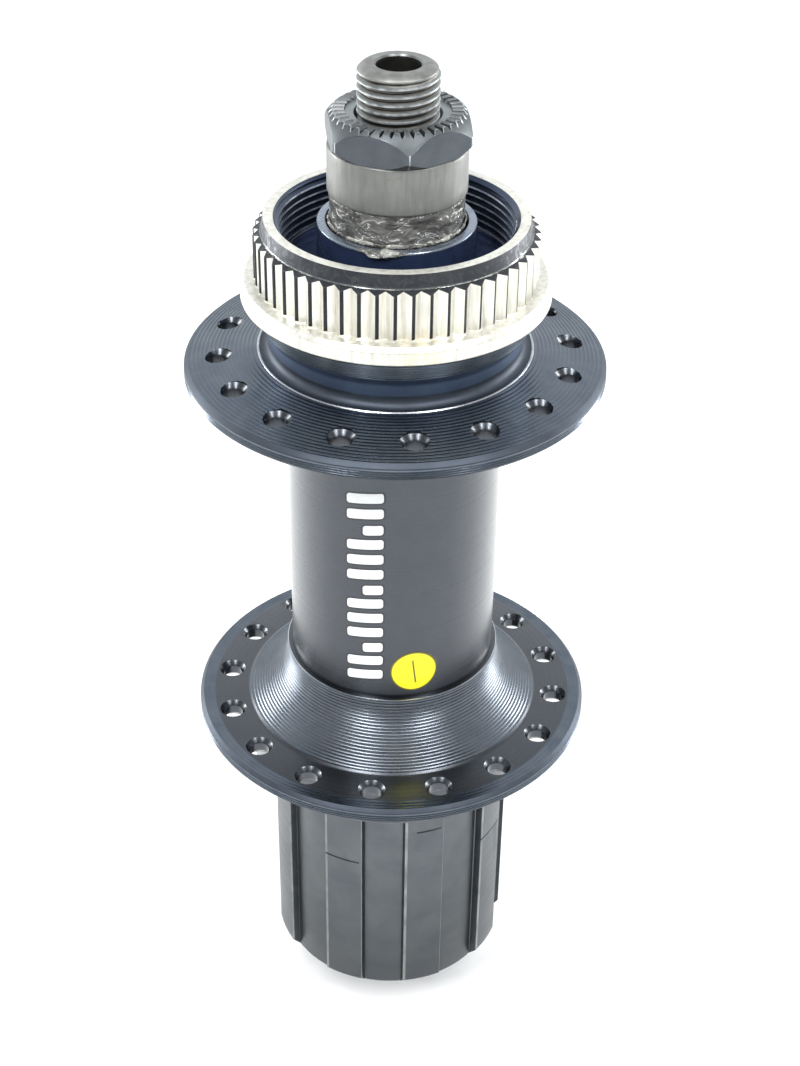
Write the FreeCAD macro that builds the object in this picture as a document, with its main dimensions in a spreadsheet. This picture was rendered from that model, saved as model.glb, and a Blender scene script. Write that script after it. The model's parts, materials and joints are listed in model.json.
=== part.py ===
"""Bicycle rear hub: hollow axle with cup-and-cone bearings, a spoke-flange shell with a
rotor mount on the left, and a splined freehub body with pawls and ratchet on the right.

Frame: +Z along the axle towards the rotor side, origin at the axle's middle, millimetres.
Angles are measured about +Z from +X, in degrees.
"""
import FreeCAD, Part
import math
import os
import Sketcher

V = FreeCAD.Vector
doc = FreeCAD.newDocument("rear_hub")
sheet = doc.addObject("Spreadsheet::Sheet", "Dims")


# ------------------------------------------------------------ driving dimensions
class Size:
    """A number together with the spreadsheet expression that gives it."""

    def __init__(self, value, text):
        self.value = value
        self.text = text

    def combine(self, sign, other, result):
        right = other.text if isinstance(other, Size) else repr(other)
        return Size(result, "(%s %s %s)" % (self.text, sign, right))

    def __add__(self, other):
        return self.combine("+", other, self.value + number(other))

    def __sub__(self, other):
        return self.combine("-", other, self.value - number(other))

    def __mul__(self, other):
        return self.combine("*", other, self.value * number(other))

    def __truediv__(self, other):
        return self.combine("/", other, self.value / number(other))

    def __neg__(self):
        return Size(-self.value, "(-1 * %s)" % self.text)


def number(size):
    return size.value if isinstance(size, Size) else float(size)


def cosine(angle):
    return Size(math.cos(math.radians(angle.value)), "cos(%s)" % angle.text)


def sine(angle):
    return Size(math.sin(math.radians(angle.value)), "sin(%s)" % angle.text)


def fixed(value):
    """A plain number as a size, for zero offsets and whole angles."""
    return Size(float(value), repr(float(value)))


class Dimensions:
    """Each attribute is one aliased cell of the sheet."""

    def __init__(self, table):
        for row, (alias, value) in enumerate(table.items(), start=1):
            sheet.set("A%d" % row, alias)
            sheet.set("B%d" % row, str(value))
            sheet.setAlias("B%d" % row, alias)
            setattr(self, alias, Size(float(value), "Dims." + alias))


D = Dimensions({
    # axle and what is clamped on it
    "axle_length": 146.0, "axle_radius": 5.0, "axle_bore": 2.7, "axle_edge": 0.5,
    "axle_relief": 0.4, "axle_relief_width": 0.6, "axle_waist_cut": 0.3, "axle_waist_end": 4.0,
    "over_locknuts": 135.0, "nut_flats": 16.6, "nut_corner": 9.42, "nut_corner_angle": -82.0,
    "nut_face_radius": 7.75, "nut_slope_drop": 0.5, "nut_cone_drop": 2.1, "nut_foot_edge": 0.8,
    "left_nut_height": 4.2, "right_nut_height": 3.5,
    "spacer_radius": 8.55, "spacer_height": 5.9, "spacer_edge": 0.3,
    "washer_radius": 8.8, "washer_height": 1.0,
    "cone_barrel": 7.4, "seal_radius": 8.45, "cone_foot": 0.6, "left_collar_end": 4.0,
    "right_collar_end": 3.2, "left_seal_lift": 3.9,
    # axle bearings: nine quarter-inch balls in each row
    "ball_radius": 3.175, "ball_count": 9, "ball_circle": 10.0,
    "left_row_height": 42.0, "right_row_height": -58.0, "race_clearance": 0.04,
    "retainer_inner": 10.6, "retainer_outer": 12.6, "retainer_near": 1.6, "retainer_far": 3.3,
    # freehub bearings: twenty-five eighth-inch balls in each row
    "small_ball": 1.5875, "small_count": 25, "small_circle": 12.9,
    "inboard_row_height": -31.0, "outboard_row_height": -51.0, "small_clearance": 0.03,
    # rotor mount on the left end of the shell
    "rim_height": 54.0, "rim_radius": 16.4, "thread_radius": 15.0, "thread_floor": 46.6,
    "rim_foot_radius": 16.75, "rim_foot_height": 52.2,
    "spline_tip": 17.7, "spline_root": 17.0, "spline_top": 51.8, "spline_bottom": 46.0,
    "spline_count": 52, "spline_angle": -87.12, "spline_opening": 4.72, "spline_overrun": 0.5,
    "seat_radius": 19.45, "seat_height": 45.9, "seat_underside": 43.7, "seat_edge": 0.6,
    "seat_lower_edge": 0.35, "taper_foot": 40.4, "taper_step": 0.9, "neck_high": 39.3,
    "neck_low": 37.7, "neck_fillet": 1.5, "neck_spread": 1.4,
    # left bearing cup and its dust cap
    "cup_seat_radius": 14.2, "cup_bore": 9.2, "cup_base": 37.6, "cup_top": 45.8,
    "seat_cone_low": 36.0, "seat_cone_high": 37.4,
    "cap_bore": 8.7, "cap_radius": 14.95, "cap_floor": 0.8, "cap_lip_radius": 9.85,
    "cap_lip_top": 53.4, "cap_lip_edge": 0.25, "cap_bore_edge": 0.15,
    # spoke flanges and barrel
    "neck_radius": 16.2, "barrel_radius": 14.0, "barrel_bore": 11.5,
    "left_flange_radius": 26.95, "left_flange_top": 34.6, "left_flange_crown": 36.2,
    "left_flange_under": 32.4,
    "right_flange_radius": 27.4, "right_flange_top": -19.1, "right_flange_under": -21.5,
    "flange_edge": 0.5, "left_edge_rise": 0.1, "left_edge_run": 0.6, "under_slope": 0.3,
    "barrel_fillet": 1.6, "right_lower_edge": 0.6,
    "flare_top": -10.6, "flare_ring": 14.75, "flare_foot": 19.7, "flare_land": 0.8,
    "flare_foot_run": 0.7, "flare_arc_out": 3.3, "flare_arc_up": 1.6,
    "left_spoke_circle": 45.3, "right_spoke_circle": 46.4,
    "left_spoke_angle": -83.8, "right_spoke_angle": -73.7,
    "spoke_hole": 1.3, "spoke_sink": 0.55, "spoke_count": 16, "drill_overrun": 1.0,
    # right end of the shell and the freehub core
    "skirt_radius": 20.3, "skirt_bore": 18.9, "skirt_end": -28.0, "shell_end": -25.4,
    "skirt_root": 1.0, "skirt_drop": 0.2, "bore_cone": 3.5,
    "boss_radius": 9.8, "boss_depth": 4.4, "bolt_radius": 8.0, "bolt_bore": 5.6,
    "core_radius": 11.3, "core_bore": 8.2, "spigot_radius": 10.3,
    "spigot_length": 5.5, "spigot_end": -53.0, "shim_height": 0.2, "shim_margin": 0.1,
    "spigot_wall": 1.1, "core_floor": 1.0, "groove_half": 0.35, "groove_depth": 0.25,
    "cup_lip": 1.0, "cup_slope_near": -53.2, "cup_slope_far": -53.8,
    "bolt_head_height": 3.4, "bolt_head_margin": 1.25, "bolt_end_gap": 0.6,
    "bolt_socket": 12.0, "bolt_socket_depth": 3.0, "bolt_socket_overrun": 1.0,
    "seal_gap": 0.3, "seal_height": 1.8, "seal_lip": 1.2, "seal_lip_slope": 0.2,
    "end_cap_bore": 8.75, "end_cap_radius": 13.2, "end_cap_outer": -62.6,
    "end_cap_inner": -61.7,
    # freehub body
    "freehub_end": -64.4, "freehub_start": -26.0, "rib_radius": 17.15, "groove_radius": 16.0,
    "rib_angle": 19.5, "rib_start": -29.4, "stop_radius": 18.6, "collar_radius": 16.6,
    "lockring_radius": 15.0, "lockring_depth": 6.9, "cup_radius": 14.2, "cup_mouth": -63.4,
    "body_gap": 0.4, "body_end_edge": 0.4, "body_end_face": 0.3, "rib_sink": 0.2,
    "rib_lift": 0.5, "rib_overlap": 0.05,
    # pawls and ratchet
    "ratchet_count": 24, "ratchet_tip": 12.3, "ratchet_root": 13.3,
    "ratchet_top": -37.0, "ratchet_bottom": -46.0, "ratchet_angle": -28.2, "tooth_ramp": 14.2,
    "pawl_pivot": 9.9, "pawl_heel": 1.15, "pawl_reach": 5.8, "pawl_outer": 10.5,
    "pawl_inner": 8.95, "pawl_width": 7.0, "pawl_top": -38.0, "pocket_floor": 8.65,
    "pocket_margin": 0.1, "pocket_tip_room": 0.9, "pocket_overrun": 2.0, "tooth_overrun": 0.3,
    "spring_wire": 0.25, "spring_ring": 11.46, "spring_height": -41.5,
    # small parts
    "label_radius": 3.25, "label_height": -6.3, "label_angle": -77.6, "label_thickness": 0.1,
    "label_skin_half": 5.0, "label_overrun": 2.0,
})
doc.recompute()
locknut_face = D.over_locknuts / 2

# Degrees round a ball's centre, in the section plane, to the two ends of each race.
CONE_RACE_NEAR = 7.0
CONE_RACE_FAR = 58.0
LEFT_CUP_RACE = (260.0, 365.0)
RIGHT_CUP_RACE = (100.0, -5.0)
CORE_RACE = (182.0, 110.0)
END_CUP_RACE = (178.0, 250.0)
BODY_RACE = 70.0

# Degrees about Z to the middle of each rib of the sprocket spline.
FRONT_RIBS = (-158.0, -113.0, -73.0)
FIRST_BACK_RIB = -29.5
BACK_RIB_COUNT = 6
BACK_RIB_PITCH = 38.5

# Degrees about Z covered by a pawl spring, and where it starts beside its pawl.
SPRING_ARC = 143.0
SPRING_START = -3.0


# ------------------------------------------------------------ sketch helpers
def origin_plane(body, role):
    for feature in body.Origin.OriginFeatures:
        if feature.Role == role:
            return feature
    raise RuntimeError("no plane " + role)


def new_body(name):
    body = doc.addObject("PartDesign::Body", name)
    body.Label = name
    return body


def new_sketch(body, name, role="XZ_Plane", height=None, turn=None):
    """A sketch on an origin plane, lifted along Z or turned about Z where asked."""
    sketch = body.newObject("Sketcher::SketchObject", name)
    sketch.AttachmentSupport = [(origin_plane(body, role), "")]
    sketch.MapMode = "FlatFace"
    if height is not None:
        sketch.setExpression("AttachmentOffset.Base.z", height.text)
    if turn is not None:
        axis = V(0, 1, 0) if role == "XZ_Plane" else V(0, 0, 1)
        sketch.AttachmentOffset = FreeCAD.Placement(V(), FreeCAD.Rotation(axis, turn.value))
        sketch.setExpression("AttachmentOffset.Rotation.Angle", turn.text)
    return sketch


def bind(sketch, constraint, size):
    index = sketch.addConstraint(constraint)
    sketch.setExpression("Constraints[%d]" % index, size.text)


def draw_outline(sketch, corners, arcs=None):
    """A closed outline. arcs gives, for the edge that starts at a corner, its centre."""
    arcs = arcs or {}
    points = [V(number(x), number(y), 0) for x, y in corners]
    count = len(points)
    starts = []
    ends = []
    for i in range(count):
        first = points[i]
        last = points[(i + 1) % count]
        if i in arcs:
            centre = V(number(arcs[i][0]), number(arcs[i][1]), 0)
            angle_1 = math.atan2(first.y - centre.y, first.x - centre.x)
            angle_2 = math.atan2(last.y - centre.y, last.x - centre.x)
            forward = (angle_2 - angle_1) % (2 * math.pi) < math.pi
            circle = Part.Circle(centre, V(0, 0, 1), (first - centre).Length)
            if forward:
                sketch.addGeometry(Part.ArcOfCircle(circle, angle_1, angle_2), False)
            else:
                sketch.addGeometry(Part.ArcOfCircle(circle, angle_2, angle_1), False)
            starts.append(1 if forward else 2)
            ends.append(2 if forward else 1)
        else:
            sketch.addGeometry(Part.LineSegment(first, last), False)
            starts.append(1)
            ends.append(2)
    for i in range(count):
        after = (i + 1) % count
        sketch.addConstraint(Sketcher.Constraint("Coincident", i, ends[i], after, starts[after]))
    for i, (x, y) in enumerate(corners):
        bind(sketch, Sketcher.Constraint("DistanceX", -1, 1, i, starts[i], number(x)), as_size(x))
        bind(sketch, Sketcher.Constraint("DistanceY", -1, 1, i, starts[i], number(y)), as_size(y))
    for i, (centre_x, centre_y) in arcs.items():
        arc_centre = Sketcher.Constraint("DistanceX", -1, 1, i, 3, number(centre_x))
        bind(sketch, arc_centre, as_size(centre_x))


def as_size(value):
    return value if isinstance(value, Size) else fixed(value)


def turned(name, corners, arcs=None):
    """A body of revolution about Z: corners are (radius, height) pairs."""
    body = new_body(name)
    sketch = new_sketch(body, name + "_section")
    draw_outline(sketch, corners, arcs)
    feature = body.newObject("PartDesign::Revolution", name + "_turn")
    feature.Profile = sketch
    feature.ReferenceAxis = (sketch, ["V_Axis"])
    feature.Angle = 360
    return body


def ring(name, inner, outer, low, high, edge=None):
    """A plain turned ring, its outer edges chamfered where edge is given."""
    if edge is None:
        return turned(name, [(inner, low), (outer, low), (outer, high), (inner, high)])
    return turned(name, [(inner, low), (outer - edge, low), (outer, low + edge),
                         (outer, high - edge), (outer - edge, high), (inner, high)])


def pattern(body, name, original, sketch, axis, count, total=360.0):
    feature = body.newObject("PartDesign::PolarPattern", name)
    feature.Originals = [original]
    feature.Axis = (sketch, [axis])
    feature.Angle = total
    feature.setExpression("Occurrences", count.text)
    body.Tip = feature
    return feature


def on_arc(centre_r, centre_z, radius, angle):
    """The point of a circle in the section plane at an angle in degrees."""
    turn = fixed(angle)
    return centre_r + radius * cosine(turn), centre_z + radius * sine(turn)


def polar(radius, angle):
    return radius * cosine(angle), radius * sine(angle)


def boolean(kind, name, base, tool):
    result = doc.addObject(kind, name)
    result.Base = base
    result.Tool = tool
    result.Label = name
    return result


# ------------------------------------------------------------ axle set
def make_axle():
    """A hollow axle: two free ends, a relief under each locknut and a plain waist."""
    half = D.axle_length / 2
    edge_top = half - D.axle_edge
    relief_high = locknut_face
    relief_low = relief_high - D.axle_relief_width
    relief_radius = D.axle_radius - D.axle_relief
    chamfered = D.axle_radius - D.axle_edge
    waist_radius = D.axle_radius - D.axle_waist_cut
    waist_high = D.left_row_height - D.axle_waist_end
    waist_low = D.right_row_height + D.axle_waist_end
    upper = [(chamfered, half), (D.axle_radius, edge_top), (D.axle_radius, relief_high),
             (relief_radius, relief_high), (relief_radius, relief_low),
             (D.axle_radius, relief_low), (D.axle_radius, waist_high),
             (waist_radius, waist_high)]
    lower = [(waist_radius, waist_low), (D.axle_radius, waist_low),
             (D.axle_radius, -relief_low), (relief_radius, -relief_low),
             (relief_radius, -relief_high), (D.axle_radius, -relief_high),
             (D.axle_radius, -edge_top), (chamfered, -half)]
    return turned("axle", [(D.axle_bore, -half), (D.axle_bore, half)] + upper + lower)


def make_locknut(name, inner_height, face_height):
    """A hexagon nut, coned at its outer face and chamfered at its foot."""
    side = 1 if face_height.value > 0 else -1
    flat = D.nut_flats / 2
    full_corner = flat * Size(1 / math.cos(math.pi / 6), "(1 / cos(30))")
    blank = turned(name + "_blank", [
        (D.axle_radius, inner_height), (D.nut_corner - D.nut_foot_edge, inner_height),
        (D.nut_corner, inner_height + D.nut_foot_edge * side),
        (D.nut_corner, face_height - D.nut_cone_drop * side),
        (flat, face_height - D.nut_slope_drop * side),
        (D.nut_face_radius, face_height), (D.axle_radius, face_height)])
    prism = doc.addObject("Part::Prism", name + "_hexagon")
    prism.Polygon = 6
    low = inner_height if side > 0 else face_height
    height = (face_height - inner_height) * side
    prism.setExpression("Circumradius", full_corner.text)
    prism.setExpression("Height", height.text)
    prism.setExpression("Placement.Base.z", low.text)
    prism.setExpression("Placement.Rotation.Angle", D.nut_corner_angle.text)
    return boolean("Part::Common", name, prism, blank)


def make_left_stack():
    """Locknut, spacer, cone and cone seal on the rotor side; returns their objects."""
    nut_base = locknut_face - D.left_nut_height
    cone_top = nut_base - D.spacer_height
    row = D.left_row_height
    race = D.ball_radius + D.race_clearance
    race_in = on_arc(D.ball_circle, row, race, 180.0 + CONE_RACE_NEAR)
    race_out = on_arc(D.ball_circle, row, race, 180.0 - CONE_RACE_FAR)
    collar_top = row + D.left_collar_end
    seal_base = D.thread_floor + D.left_seal_lift
    foot = race_in[1] - D.cone_foot
    cone = turned("left_cone", [
        (D.axle_radius, foot), (race_in[0], foot), race_in, race_out,
        (race_out[0], collar_top), (D.cone_barrel, collar_top), (D.cone_barrel, cone_top),
        (D.axle_radius, cone_top)], {2: (D.ball_circle, row)})
    return [
        make_locknut("left_locknut", nut_base, locknut_face),
        ring("left_spacer", D.axle_radius, D.spacer_radius, cone_top, nut_base, D.spacer_edge),
        cone,
        ring("left_cone_seal", D.cone_barrel, D.seal_radius, seal_base, cone_top)]


def make_right_stack():
    """Cone, cone seal, lock washer and locknut on the freehub side."""
    face = -locknut_face
    nut_base = face + D.right_nut_height
    cone_end = nut_base + D.washer_height
    row = D.right_row_height
    race = D.ball_radius + D.race_clearance
    race_in = on_arc(D.ball_circle, row, race, 180.0 - CONE_RACE_NEAR)
    race_out = on_arc(D.ball_circle, row, race, 180.0 + CONE_RACE_FAR)
    collar_end = row - D.right_collar_end
    foot = race_in[1] + D.cone_foot
    cone = turned("right_cone", [
        (D.axle_radius, foot), (race_in[0], foot), race_in, race_out,
        (race_out[0], collar_end), (D.cone_barrel, collar_end), (D.cone_barrel, cone_end),
        (D.axle_radius, cone_end)], {2: (D.ball_circle, row)})
    return [
        cone,
        ring("right_cone_seal", D.cone_barrel, D.seal_radius, cone_end, collar_end),
        ring("right_lock_washer", D.axle_radius, D.washer_radius, nut_base, cone_end),
        make_locknut("right_locknut", nut_base, face)]


# ------------------------------------------------------------ balls and retainers
def make_balls(name, radius, circle, height, count):
    """A full row of balls as one group of separate solids."""
    balls = []
    for i in range(int(count.value)):
        ball = doc.addObject("Part::Sphere", "%s_%02d" % (name, i))
        turn = fixed(i) * (fixed(360) / count)
        ball.setExpression("Radius", radius.text)
        ball.setExpression("Placement.Base.x", (circle * cosine(turn)).text)
        ball.setExpression("Placement.Base.y", (circle * sine(turn)).text)
        ball.setExpression("Placement.Base.z", height.text)
        balls.append(ball)
    group = doc.addObject("Part::Compound", name)
    group.Links = balls
    group.Label = name
    return group


def make_ball_row(side, height, outward):
    """Nine balls and the ring that keeps them apart; outward is +1 or -1 along Z."""
    balls = make_balls(side + "_balls", D.ball_radius, D.ball_circle, height, D.ball_count)
    near = height + D.retainer_near * outward
    far = height + D.retainer_far * outward
    low, high = (near, far) if outward > 0 else (far, near)
    blank = ring(side + "_retainer_ring", D.retainer_inner, D.retainer_outer, low, high)
    pockets = make_balls(side + "_retainer_pockets", D.ball_radius + D.race_clearance,
                         D.ball_circle, height, D.ball_count)
    retainer = boolean("Part::Cut", side + "_ball_retainer", blank, pockets)
    return [balls, retainer]


# ------------------------------------------------------------ shell
def make_shell():
    """The one-piece shell: rotor tube, two flanges and barrel, drilled and splined."""
    crown = (D.spline_tip, D.spline_top)
    recess = D.shell_end + D.boss_depth
    neck_foot = D.neck_radius + D.neck_spread
    left_edge = D.left_flange_radius - D.left_edge_run
    under_left = D.left_flange_under - D.under_slope
    barrel_high = under_left - D.barrel_fillet
    flare_centre = (D.flare_foot + D.flare_arc_out, D.flare_top + D.flare_arc_up)
    corners = [
        (D.thread_radius, D.rim_height), (D.rim_radius, D.rim_height),
        (D.rim_foot_radius, D.rim_foot_height), crown,
        (D.spline_tip, D.seat_height), (D.seat_radius - D.seat_edge, D.seat_height),
        (D.seat_radius, D.seat_height - D.seat_edge), (D.seat_radius, D.seat_underside),
        (D.seat_radius - D.seat_lower_edge, D.seat_underside - D.seat_lower_edge),
        (D.neck_radius + D.taper_step, D.taper_foot),
        (D.neck_radius, D.neck_high), (D.neck_radius, D.neck_low),
        (neck_foot, D.left_flange_crown), (left_edge, D.left_flange_top + D.left_edge_rise),
        (D.left_flange_radius, D.left_flange_top - D.flange_edge),
        (D.left_flange_radius, D.left_flange_under + D.flange_edge),
        (D.left_flange_radius - D.flange_edge, D.left_flange_under),
        (D.barrel_radius + D.barrel_fillet, under_left),
        (D.barrel_radius, barrel_high), (D.barrel_radius, D.flare_top),
        (D.flare_ring, D.flare_top), (D.flare_ring, D.flare_top - D.flare_land),
        (D.flare_foot, D.right_flange_top + D.flange_edge),
        (D.flare_foot + D.flare_foot_run, D.right_flange_top),
        (D.right_flange_radius - D.flange_edge, D.right_flange_top),
        (D.right_flange_radius, D.right_flange_top - D.flange_edge),
        (D.right_flange_radius, D.right_flange_under + D.right_lower_edge),
        (D.right_flange_radius - D.right_lower_edge, D.right_flange_under),
        (D.skirt_radius + D.skirt_root, D.right_flange_under - D.skirt_drop),
        (D.skirt_radius, D.right_flange_under - D.skirt_drop - D.skirt_root),
        (D.skirt_radius, D.skirt_end), (D.skirt_bore, D.skirt_end),
        (D.skirt_bore, D.shell_end), (D.boss_radius, D.shell_end),
        (D.boss_radius, recess), (D.bolt_radius, recess), (D.bolt_radius, D.flare_top),
        (D.barrel_bore, D.flare_top + D.bore_cone), (D.barrel_bore, D.seat_cone_low),
        (D.cup_seat_radius, D.seat_cone_high), (D.cup_seat_radius, D.thread_floor),
        (D.thread_radius, D.thread_floor)]
    arcs = {
        11: (D.neck_radius + D.neck_fillet, D.neck_low),
        17: (D.barrel_radius + D.barrel_fillet, barrel_high),
        21: flare_centre}
    body = turned("hub_shell", corners, arcs)
    cut_rotor_spline(body)
    drill_spokes(body, "left", D.left_spoke_circle, D.left_spoke_angle,
                 D.left_flange_under, spoke_seat_left())
    drill_spokes(body, "right", D.right_spoke_circle, D.right_spoke_angle,
                 D.right_flange_under, D.right_flange_top)
    return body


def spoke_seat_left():
    """Height of the left flange's sloping top face where the spoke holes are."""
    inner = D.neck_radius + D.neck_spread
    run = D.left_flange_radius - D.left_edge_run - inner
    slope = (D.left_flange_crown - D.left_flange_top - D.left_edge_rise) / run
    return D.left_flange_crown - slope * (D.left_spoke_circle / 2 - inner)


def cut_rotor_spline(body):
    """V-grooves cut up the rotor tube, leaving narrow lands at full radius."""
    start = D.rim_height + D.spline_overrun
    beyond = D.spline_tip + D.spline_overrun
    sketch = new_sketch(body, "rotor_spline_groove", "XY_Plane", start)
    draw_outline(sketch, [
        polar(D.spline_root, D.spline_angle), polar(beyond, D.spline_angle - D.spline_opening),
        polar(beyond, D.spline_angle + D.spline_opening)])
    cut = body.newObject("PartDesign::Pocket", "rotor_spline_cut")
    cut.Profile = sketch
    cut.setExpression("Length", (start - D.spline_bottom).text)
    body.Tip = cut
    pattern(body, "rotor_spline", cut, sketch, "N_Axis", D.spline_count)


def drill_spokes(body, side, circle, angle, low, high):
    """One countersunk spoke hole, turned about its own axis, then repeated."""
    wide = D.spoke_hole + D.spoke_sink
    centre = circle / 2
    sketch = new_sketch(body, side + "_spoke_section", "XZ_Plane", None, -angle)
    draw_outline(sketch, [
        (centre, low - D.drill_overrun), (centre + wide, low - D.drill_overrun),
        (centre + wide, low), (centre + D.spoke_hole, low + D.spoke_sink),
        (centre + D.spoke_hole, high - D.spoke_sink), (centre + wide, high),
        (centre + wide, high + D.drill_overrun), (centre, high + D.drill_overrun)])
    hole = body.newObject("PartDesign::Groove", side + "_spoke_hole")
    hole.Profile = sketch
    hole.ReferenceAxis = (sketch, ["Edge8"])
    hole.Angle = 360
    body.Tip = hole
    pattern(body, side + "_spoke_holes", hole, sketch, "V_Axis", D.spoke_count)


def make_left_cup():
    """The left bearing cup, pressed into the shell."""
    row = D.left_row_height
    race = D.ball_radius + D.race_clearance
    low = on_arc(D.ball_circle, row, race, LEFT_CUP_RACE[0])
    high = on_arc(D.ball_circle, row, race, LEFT_CUP_RACE[1])
    return turned("left_bearing_cup", [
        (D.cup_bore, D.cup_base), (D.cup_seat_radius, D.cup_base),
        (D.cup_seat_radius, D.cup_top), (high[0], D.cup_top), high, low,
        (D.cup_bore, low[1])], {4: (D.ball_circle, row)})


def make_left_dust_cap():
    """A cap over the left bearing with a raised lip round the cone seal."""
    floor_top = D.thread_floor + D.cap_floor
    return turned("left_dust_cap", [
        (D.cap_bore, D.thread_floor), (D.cap_radius, D.thread_floor), (D.cap_radius, floor_top),
        (D.cap_lip_radius, floor_top), (D.cap_lip_radius, D.cap_lip_top - D.cap_lip_edge),
        (D.cap_lip_radius - D.cap_lip_edge, D.cap_lip_top),
        (D.cap_bore + D.cap_bore_edge, D.cap_lip_top),
        (D.cap_bore, D.cap_lip_top - D.cap_bore_edge)])


# ------------------------------------------------------------ freehub, fixed parts
def make_core():
    """The freehub's inner body: shell boss, inboard race, pawl pockets and spigot."""
    row = D.inboard_row_height
    race = D.small_ball + D.small_clearance
    race_in = on_arc(D.small_circle, row, race, CORE_RACE[0])
    race_out = on_arc(D.small_circle, row, race, CORE_RACE[1])
    recess = D.shell_end + D.boss_depth
    shoulder = D.spigot_end + D.spigot_length
    groove_low = D.spring_height - D.groove_half
    groove_high = D.spring_height + D.groove_half
    groove_floor = D.core_radius - D.groove_depth
    inside = D.spigot_radius - D.spigot_wall
    floor = shoulder - D.core_floor
    body = turned("freehub_core", [
        (D.core_bore, recess), (D.boss_radius, recess), (D.boss_radius, D.shell_end),
        (race_out[0], D.shell_end), race_out, race_in, (D.core_radius, race_in[1]),
        (D.core_radius, groove_high), (groove_floor, groove_high),
        (groove_floor, groove_low), (D.core_radius, groove_low),
        (D.core_radius, shoulder), (D.spigot_radius, shoulder),
        (D.spigot_radius, D.spigot_end), (inside, D.spigot_end), (inside, floor),
        (D.core_bore, floor)],
        {4: (D.small_circle, row)})
    pocket_top = D.pawl_top + D.pocket_margin
    sketch = new_sketch(body, "pawl_pocket_outline", "XY_Plane", pocket_top)
    tip_end = -D.pawl_reach - D.pocket_tip_room
    heel_end = D.pawl_heel + D.pocket_margin
    outside = D.core_radius + D.pocket_overrun
    draw_outline(sketch, [(D.pocket_floor, tip_end), (outside, tip_end),
                          (outside, heel_end), (D.pocket_floor, heel_end)])
    pocket = body.newObject("PartDesign::Pocket", "pawl_pocket")
    pocket.Profile = sketch
    pocket.setExpression("Length", (D.pawl_width + D.pocket_margin * 2).text)
    body.Tip = pocket
    pattern(body, "pawl_pockets", pocket, sketch, "N_Axis", fixed(2))
    return body


def make_end_cup():
    """Screwed on the core: race of the outboard row outside, of the right axle row inside."""
    small_race = D.small_ball + D.small_clearance
    small_in = on_arc(D.small_circle, D.outboard_row_height, small_race, END_CUP_RACE[0])
    small_out = on_arc(D.small_circle, D.outboard_row_height, small_race, END_CUP_RACE[1])
    race = D.ball_radius + D.race_clearance
    row = D.right_row_height
    inner = on_arc(D.ball_circle, row, race, RIGHT_CUP_RACE[0])
    outer = on_arc(D.ball_circle, row, race, RIGHT_CUP_RACE[1])
    lip = D.spigot_radius - D.cup_lip
    shoulder = D.spigot_end + D.spigot_length - D.shim_height
    return turned("freehub_end_cup", [
        (D.spigot_radius, shoulder), (small_in[0], shoulder), small_in, small_out,
        (small_out[0], D.cup_slope_near), (D.cup_radius, D.cup_slope_far),
        (D.cup_radius, D.cup_mouth), (outer[0], D.cup_mouth), outer, inner, (lip, inner[1]),
        (lip, D.spigot_end), (D.spigot_radius, D.spigot_end)],
        {2: (D.small_circle, D.outboard_row_height), 8: (D.ball_circle, row)})


def make_fixing_bolt():
    """The hollow bolt that holds the core to the shell, with a hexagon socket."""
    head_seat = D.spigot_end + D.spigot_length - D.core_floor
    head_end = head_seat - D.bolt_head_height
    head_radius = D.spigot_radius - D.bolt_head_margin
    screw_end = D.flare_top - D.bolt_end_gap
    blank = turned("freehub_bolt_blank", [
        (D.bolt_bore, head_end), (head_radius, head_end), (head_radius, head_seat),
        (D.bolt_radius, head_seat), (D.bolt_radius, screw_end), (D.bolt_bore, screw_end)])
    socket = doc.addObject("Part::Prism", "freehub_bolt_socket")
    socket.Polygon = 6
    depth = D.bolt_socket_depth + D.bolt_socket_overrun
    socket.setExpression("Circumradius", (D.bolt_socket / 2 / cosine(fixed(30))).text)
    socket.setExpression("Height", depth.text)
    socket.setExpression("Placement.Base.z", (head_end - D.bolt_socket_overrun).text)
    return boolean("Part::Cut", "freehub_fixing_bolt", blank, socket)


def make_fixed_freehub_parts():
    shoulder = D.spigot_end + D.spigot_length
    shims = ring("freehub_shims", D.spigot_radius, D.core_radius - D.shim_margin,
                 shoulder - D.shim_height, shoulder)
    seal_bore = D.collar_radius + D.seal_gap
    seal_end = D.shell_end - D.seal_height
    lip_radius = D.skirt_bore - D.seal_lip
    lip_end = D.shell_end - D.seal_lip
    seal = turned("shell_seal", [
        (seal_bore, seal_end), (D.skirt_bore, seal_end), (D.skirt_bore, D.shell_end),
        (lip_radius, D.shell_end), (lip_radius, lip_end + D.seal_lip_slope),
        (seal_bore, lip_end)])
    cap = ring("right_dust_cap", D.end_cap_bore, D.end_cap_radius, D.end_cap_outer,
               D.end_cap_inner)
    return [make_core(), make_end_cup(), make_fixing_bolt(), shims, seal, cap]


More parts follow.
